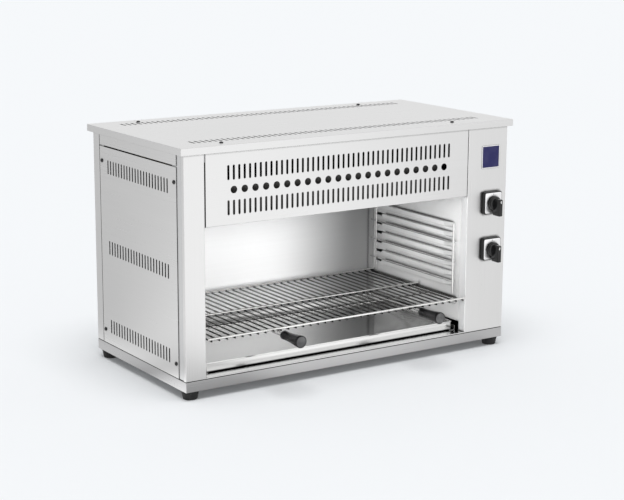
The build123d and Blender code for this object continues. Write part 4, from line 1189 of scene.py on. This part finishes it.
class MELTER_OT_gland(MelterOperator):
    """Cable gland with a hexagonal foot and a ribbed dome nut"""

    bl_idname = "melter.gland"
    bl_label = "Model the cable gland"

    def execute(self, context):
        sizes = context.scene.melter_sizes
        low, high = reach("cable_gland")
        wall = reach("back_panel")[1].y
        middle = (low + high) / 2
        bore, flange, dome = sizes.gland_bore, (high.x - low.x) / 2, sizes.gland_dome
        depth, length = wall - low.y, high.y - wall
        thread, rib, ribs = 8.0, 0.6, 18
        piece = begin("cable_gland_moulding")
        turned(
            (middle.x, low.y, middle.z), Y_AXIS, X_AXIS,
            [
                (0, bore), (0, thread - 0.6), (0.6, thread), (depth, thread), (depth, bore),
                (0, bore),
            ],
            steps=40,
        )
        turned(
            (middle.x, wall, middle.z), Y_AXIS, X_AXIS,
            [
                (0, 6), (0, flange - 0.5), (0.5, flange), (4.4, flange), (5, flange - 0.8),
                (5, 6), (0, 6),
            ],
            steps=6,
        )
        turned(
            (middle.x, wall + 4, middle.z), Y_AXIS, X_AXIS,
            [
                (0, bore), (0, dome - 0.6), (1.2, dome), (length - 9, dome),
                (length - 6, dome - 1.6), (length - 4.4, bore + 1.2), (length - 4, bore + 0.4),
                (length - 4.6, bore), (0, bore),
            ],
            steps=48,
        )
        for step in range(ribs):
            angle = math.tau * step / ribs
            x = middle.x + math.cos(angle) * (dome - 0.15)
            z = middle.z + math.sin(angle) * (dome - 0.15)
            wire((x, wall + 5.5, z), (x, wall + length - 5.4, z), rib, sides=8)
        end(piece, "cabinet", ["black_plastic"], ("cable_gland",))
        return {"FINISHED"}


class MELTER_OT_linings(MelterOperator):
    """Painted shade: black cloth behind the slots, and black strips in the seams of the casing,
    put where the casing is only shaded
    """

    bl_idname = "melter.linings"
    bl_label = "Model the linings and gaskets"

    def execute(self, context):
        self.linings(context.scene.melter_sizes)
        self.gaskets(context.scene.melter_sizes)
        return {"FINISHED"}

    def linings(self, sizes):
        panel_low, panel_high = reach("left_side_panel")
        vent_low, vent_high = reach("front_vent_panel")
        thick, edge = sizes.lining_thickness, 0.8
        outer = abs(panel_low.x) - sizes.lining_gap
        inner = outer - thick
        side_margin, vent_margin, cover_margin, half_row = 8, 6, 24, 22
        vent_y = vent_low.y + 24
        back_y = reach("back_panel")[1].y - 10
        cover_z = reach("top_cover")[1].z - 14
        # painted shade: black sheets behind the slots of the sides, the vents, the back and the
        # cover
        piece = begin("slot_linings")
        for left, right in ((-outer, -inner), (inner, outer)):
            block(
                (left, panel_low.y + side_margin, panel_low.z + side_margin),
                (right, panel_high.y - side_margin, panel_high.z - side_margin), edge,
            )
        left, right = vent_low.x + vent_margin, vent_high.x - vent_margin
        block((left, vent_y, 415), (right, vent_y + thick, 472), edge)
        block((left, back_y - thick, 412), (right, back_y, 468), edge)
        half_width = -panel_low.x - cover_margin
        for row in (sizes.cover_row_front, sizes.cover_row_rear):
            block(
                (-half_width, row - half_row, cover_z - thick),
                (half_width, row + half_row, cover_z), edge,
            )
        end(piece, "cabinet", ["glass_cloth"])

    def gaskets(self, sizes):
        low, high = reach("base_pan")
        vent_low, vent_high = reach("front_vent_panel")
        deep, thick = sizes.gasket_depth, 2
        left, front, right, rear = low.x + deep, low.y + deep, high.x - deep, high.y - deep
        bottom, top = high.z, reach("left_side_panel")[0].z
        # painted shade: black strips along the base's seams and beside the vent panel
        piece = begin("seam_gaskets")
        for x0, y0, x1, y1 in (
            (left, front, right, front + thick), (left, rear - thick, right, rear),
            (left, front, left + thick, rear), (right - thick, front, right, rear),
        ):
            block((x0, y0, bottom), (x1, y1, top))
        pillar_x = reach("left_pillar")[1].x
        column_x = reach("control_column")[0].x
        seam_y = vent_low.y + 1.5
        for x0, x1 in ((pillar_x, vent_low.x), (vent_high.x, column_x)):
            block((x0, seam_y, vent_low.z), (x1, seam_y + thick, vent_high.z))
        end(piece, "cabinet", ["gasket"])


# ------------------------------------------------------------------ studio
GLOW = (
    # direction of a bright field, where it starts, where it is full, its strength
    ((0.55, -0.83, -0.05), 0.45, 0.84, 1.31),
    ((-0.55, -0.83, -0.05), 0.55, 0.90, 0.80),
    ((0.55, 0.83, 0.15), 0.50, 0.90, 1.00),
    ((-0.55, 0.83, -0.15), -0.10, 0.75, 0.80),
    ((0.0, 0.0, 1.0), 0.45, 0.90, 1.00),
)
GLOW_DIM = 0.14
GLOW_CENTER = (-0.15, 0.15, 0.25)  # the point that sees the floor's glow in the right direction

HALF_WIDTH, HALF_DEPTH = 0.39, 0.19  # half the casing's footprint
SLOPE = 0.658  # sideways per length to the rear along the photo's line of sight
# where a painted shade on the floor's glow starts and ends, and its strength at both
FRONT_RAMP = (0.0, 0.14, 0.6, 1.0)
RIGHT_RAMP = (0.0, 0.42, 1.0, 0.74)
REAR_RAMP = (-0.20, 0.20, 1.44, 0.84)
SIDE_RAMP = (0.05, 0.11, 1.6, 1.0)

WHITE = (1, 1, 1, 1)
LIFT_COLOR = (0.985, 1.0, 1.015, 1)
SKY_COLOR = (0.97, 0.985, 1.0, 1)
BACKDROP_COLOR = (0.922, 0.939, 0.956, 1)


def glow_group():
    """What polished metal sees of the studio in a direction: bright fields on a dim ground."""
    def fill(tree, given):
        direction = node(tree, "VectorMath", given["Direction"], operation="NORMALIZE")
        total = None
        for toward, start, full, level in GLOW:
            along = node(
                tree, "VectorMath", direction.outputs["Vector"], Vector(toward).normalized(),
                operation="DOT_PRODUCT",
            )
            field = ramp(tree, along.outputs["Value"], start, full, GLOW_DIM, level)
            total = maths(tree, "MAXIMUM", total, field) if total else field
        return [total]

    return group("Studio Glow", {"Direction": (0, 0, 1)}, {"Strength": "Float"}, fill)


def painted_floor_shade(tree, place):
    """Painted shade on the floor's glow, seen only by polished metal: dims it close in front of
    the melter, to its right, and at its side to the rear.
    """
    split = node(tree, "SeparateXYZ", place).outputs
    across, deep = split["X"], split["Y"]
    ahead = maths(tree, "SUBTRACT", maths(tree, "ABSOLUTE", deep), HALF_DEPTH)
    aside = maths(tree, "GREATER_THAN", maths(tree, "ABSOLUTE", across), HALF_WIDTH)
    near = maths(tree, "MAXIMUM", ramp(tree, ahead, *FRONT_RAMP), aside)
    drift = maths(tree, "MULTIPLY", ahead, SLOPE)
    right = ramp(tree, maths(tree, "SUBTRACT", across, drift), *RIGHT_RAMP)
    on_left = maths(tree, "LESS_THAN", across, -HALF_WIDTH)
    outward = maths(tree, "SUBTRACT", maths(tree, "MULTIPLY", across, -1.0), HALF_WIDTH)
    rear = maths(tree, "SUBTRACT", deep, maths(tree, "DIVIDE", outward, SLOPE))
    left = maths(
        tree, "MULTIPLY", ramp(tree, rear, *REAR_RAMP), ramp(tree, outward, *SIDE_RAMP)
    )
    return maths(tree, "MULTIPLY", near, blend(tree, on_left, right, left, "FLOAT"))


def polished_ray(tree, rays):
    """One for a ray that metal or glass sent out and no matt surface before it."""
    either = maths(tree, "MAXIMUM", rays["Is Glossy Ray"], rays["Is Transmission Ray"])
    no_matt = maths(tree, "LESS_THAN", rays["Diffuse Depth"], 0.5)
    return maths(tree, "MULTIPLY", either, no_matt)


def floor_material(settings):
    """Pale floor that keeps the shadow for the eye and shows polished metal a studio glow, with
    painted shade close to the melter.
    """
    material = bpy.data.materials.new("studio_floor")
    tree = emptied(material)
    matt = node(tree, "BsdfDiffuse", Color=(*settings.floor_color, 1))
    lift = node(tree, "Emission", Color=LIFT_COLOR, Strength=settings.floor_lift)
    lit = node(tree, "AddShader", matt.outputs[0], lift.outputs[0])
    place = node(tree, "TexCoord").outputs["Object"]
    sight = node(tree, "VectorMath", place, GLOW_CENTER, operation="SUBTRACT").outputs["Vector"]
    glow = node(tree, "Group", node_tree=glow_group(), Direction=sight).outputs["Strength"]
    level = maths(tree, "MULTIPLY", glow, painted_floor_shade(tree, place))
    scaled = maths(tree, "MULTIPLY", level, settings.glow_strength)
    seen = node(tree, "Emission", Color=WHITE, Strength=scaled)
    polished = polished_ray(tree, node(tree, "LightPath").outputs)
    mix = node(tree, "MixShader", polished, lit.outputs[0], seen.outputs[0])
    node(tree, "OutputMaterial", Surface=mix.outputs[0])
    return material


def studio_world(settings):
    """Soft light from all round; polished metal sees bright fields on a dim ground."""
    world = bpy.data.worlds.new("studio")
    tree = emptied(world)
    rays = node(tree, "LightPath").outputs
    direction = node(tree, "TexCoord").outputs["Generated"]
    glow = node(tree, "Group", node_tree=glow_group(), Direction=direction).outputs["Strength"]
    scaled = maths(tree, "MULTIPLY", glow, settings.glow_strength)
    seen = node(tree, "Background", Color=WHITE, Strength=scaled)
    sky = node(tree, "Background", Color=SKY_COLOR, Strength=settings.sky_strength)
    backdrop = node(tree, "Background", Color=BACKDROP_COLOR, Strength=1.0)
    mix = node(tree, "MixShader", polished_ray(tree, rays), sky.outputs[0], seen.outputs[0])
    shown = node(
        tree, "MixShader", rays["Is Camera Ray"], mix.outputs[0], backdrop.outputs[0]
    )
    node(tree, "OutputWorld", Surface=shown.outputs[0])
    return world


def soft_sun(name, energy, toward, spread, passes=None):
    """A lamp as wide as a studio window, shining along a direction and passing one object by."""
    lamp = bpy.data.lights.new(name, "SUN")
    lamp.energy = energy
    lamp.angle = math.radians(spread)
    sun = bpy.data.objects.new(name, lamp)
    sun.visible_glossy = False
    sun.rotation_mode = "QUATERNION"
    sun.rotation_quaternion = Vector(toward).to_track_quat("-Z", "Y")
    bpy.context.scene.collection.objects.link(sun)
    if passes is not None:
        unlit = bpy.data.collections.new(f"passed_by_{name}")
        unlit.objects.link(passes)
        unlit.collection_objects[0].light_linking.link_state = "EXCLUDE"
        sun.light_linking.receiver_collection = unlit


class MELTER_OT_stage(MelterOperator):
    """Pale floor, soft lamps and the camera at the photograph's place"""

    bl_idname = "melter.stage"
    bl_label = "Set the stage"

    def execute(self, context):
        settings = context.scene.melter_stage
        bpy.ops.object.select_all(action="DESELECT")
        bpy.ops.mesh.primitive_plane_add(size=2 * settings.floor_reach, location=(0, 0, 0))
        floor = context.object
        floor.name = "studio_floor"
        floor.data.materials.append(floor_material(settings))
        context.scene.world = studio_world(settings)
        soft_sun("key", settings.key_strength, (0.1, 0.2, -1.0), 45)
        soft_sun("low", settings.low_strength, (-0.41, 0.91, -0.06), 34, floor)
        soft_sun("fill", settings.fill_strength, (0.76, 0.60, -0.26), 40, floor)

        camera_data = bpy.data.cameras.new("camera")
        camera_data.lens = settings.focal
        camera_data.sensor_width = 36
        camera_data.clip_end = 200
        camera = bpy.data.objects.new("camera", camera_data)
        context.scene.collection.objects.link(camera)
        turned_by = Matrix.Rotation(settings.azimuth, 4, "Z")
        tilt = Matrix.Rotation(math.pi / 2 - settings.elevation, 4, "X")
        roll = Matrix.Rotation(settings.roll, 4, "Z")
        camera.matrix_world = Matrix.Translation(settings.place) @ turned_by @ tilt @ roll
        context.scene.camera = camera
        context.scene.view_settings.view_transform = "Standard"
        return {"FINISHED"}


# ------------------------------------------------------------------ panel and registration
class MELTER_PT_panel(bpy.types.Panel):
    """Lists the melter's operators and settings"""

    bl_label = "Melter"
    bl_space_type = "VIEW_3D"
    bl_region_type = "UI"
    bl_category = "Melter"

    def draw(self, context):
        for operator in OPERATORS:
            self.layout.operator(operator.bl_idname)
        scene = context.scene
        for settings in (scene.melter_finish, scene.melter_sizes, scene.melter_stage):
            box = self.layout.box()
            for key in settings.__annotations__:
                box.prop(settings, key)


OPERATORS = (
    MELTER_OT_stage, MELTER_OT_casing, MELTER_OT_chamber, MELTER_OT_liners, MELTER_OT_feet,
    MELTER_OT_screws, MELTER_OT_shelf, MELTER_OT_grips, MELTER_OT_tray, MELTER_OT_switches,
    MELTER_OT_badge, MELTER_OT_gland, MELTER_OT_linings,
)
CLASSES = (MelterFinish, MelterSizes, MelterStage, *OPERATORS, MELTER_PT_panel)


def register():
    for cls in CLASSES:
        bpy.utils.register_class(cls)
    bpy.types.Scene.melter_finish = PointerProperty(type=MelterFinish)
    bpy.types.Scene.melter_sizes = PointerProperty(type=MelterSizes)
    bpy.types.Scene.melter_stage = PointerProperty(type=MelterStage)


def unregister():
    del bpy.types.Scene.melter_stage
    del bpy.types.Scene.melter_sizes
    del bpy.types.Scene.melter_finish
    for cls in reversed(CLASSES):
        bpy.utils.unregister_class(cls)


def main():
    register()
    bpy.ops.melter.stage()
    bpy.ops.melter.casing()
    bpy.ops.melter.chamber()
    bpy.ops.melter.liners()
    bpy.ops.melter.feet()
    bpy.ops.melter.screws()
    bpy.ops.melter.shelf()
    bpy.ops.melter.grips()
    bpy.ops.melter.tray()
    bpy.ops.melter.switches()
    bpy.ops.melter.badge()
    bpy.ops.melter.gland()
    bpy.ops.melter.linings()


if __name__ == "__main__":
    main()
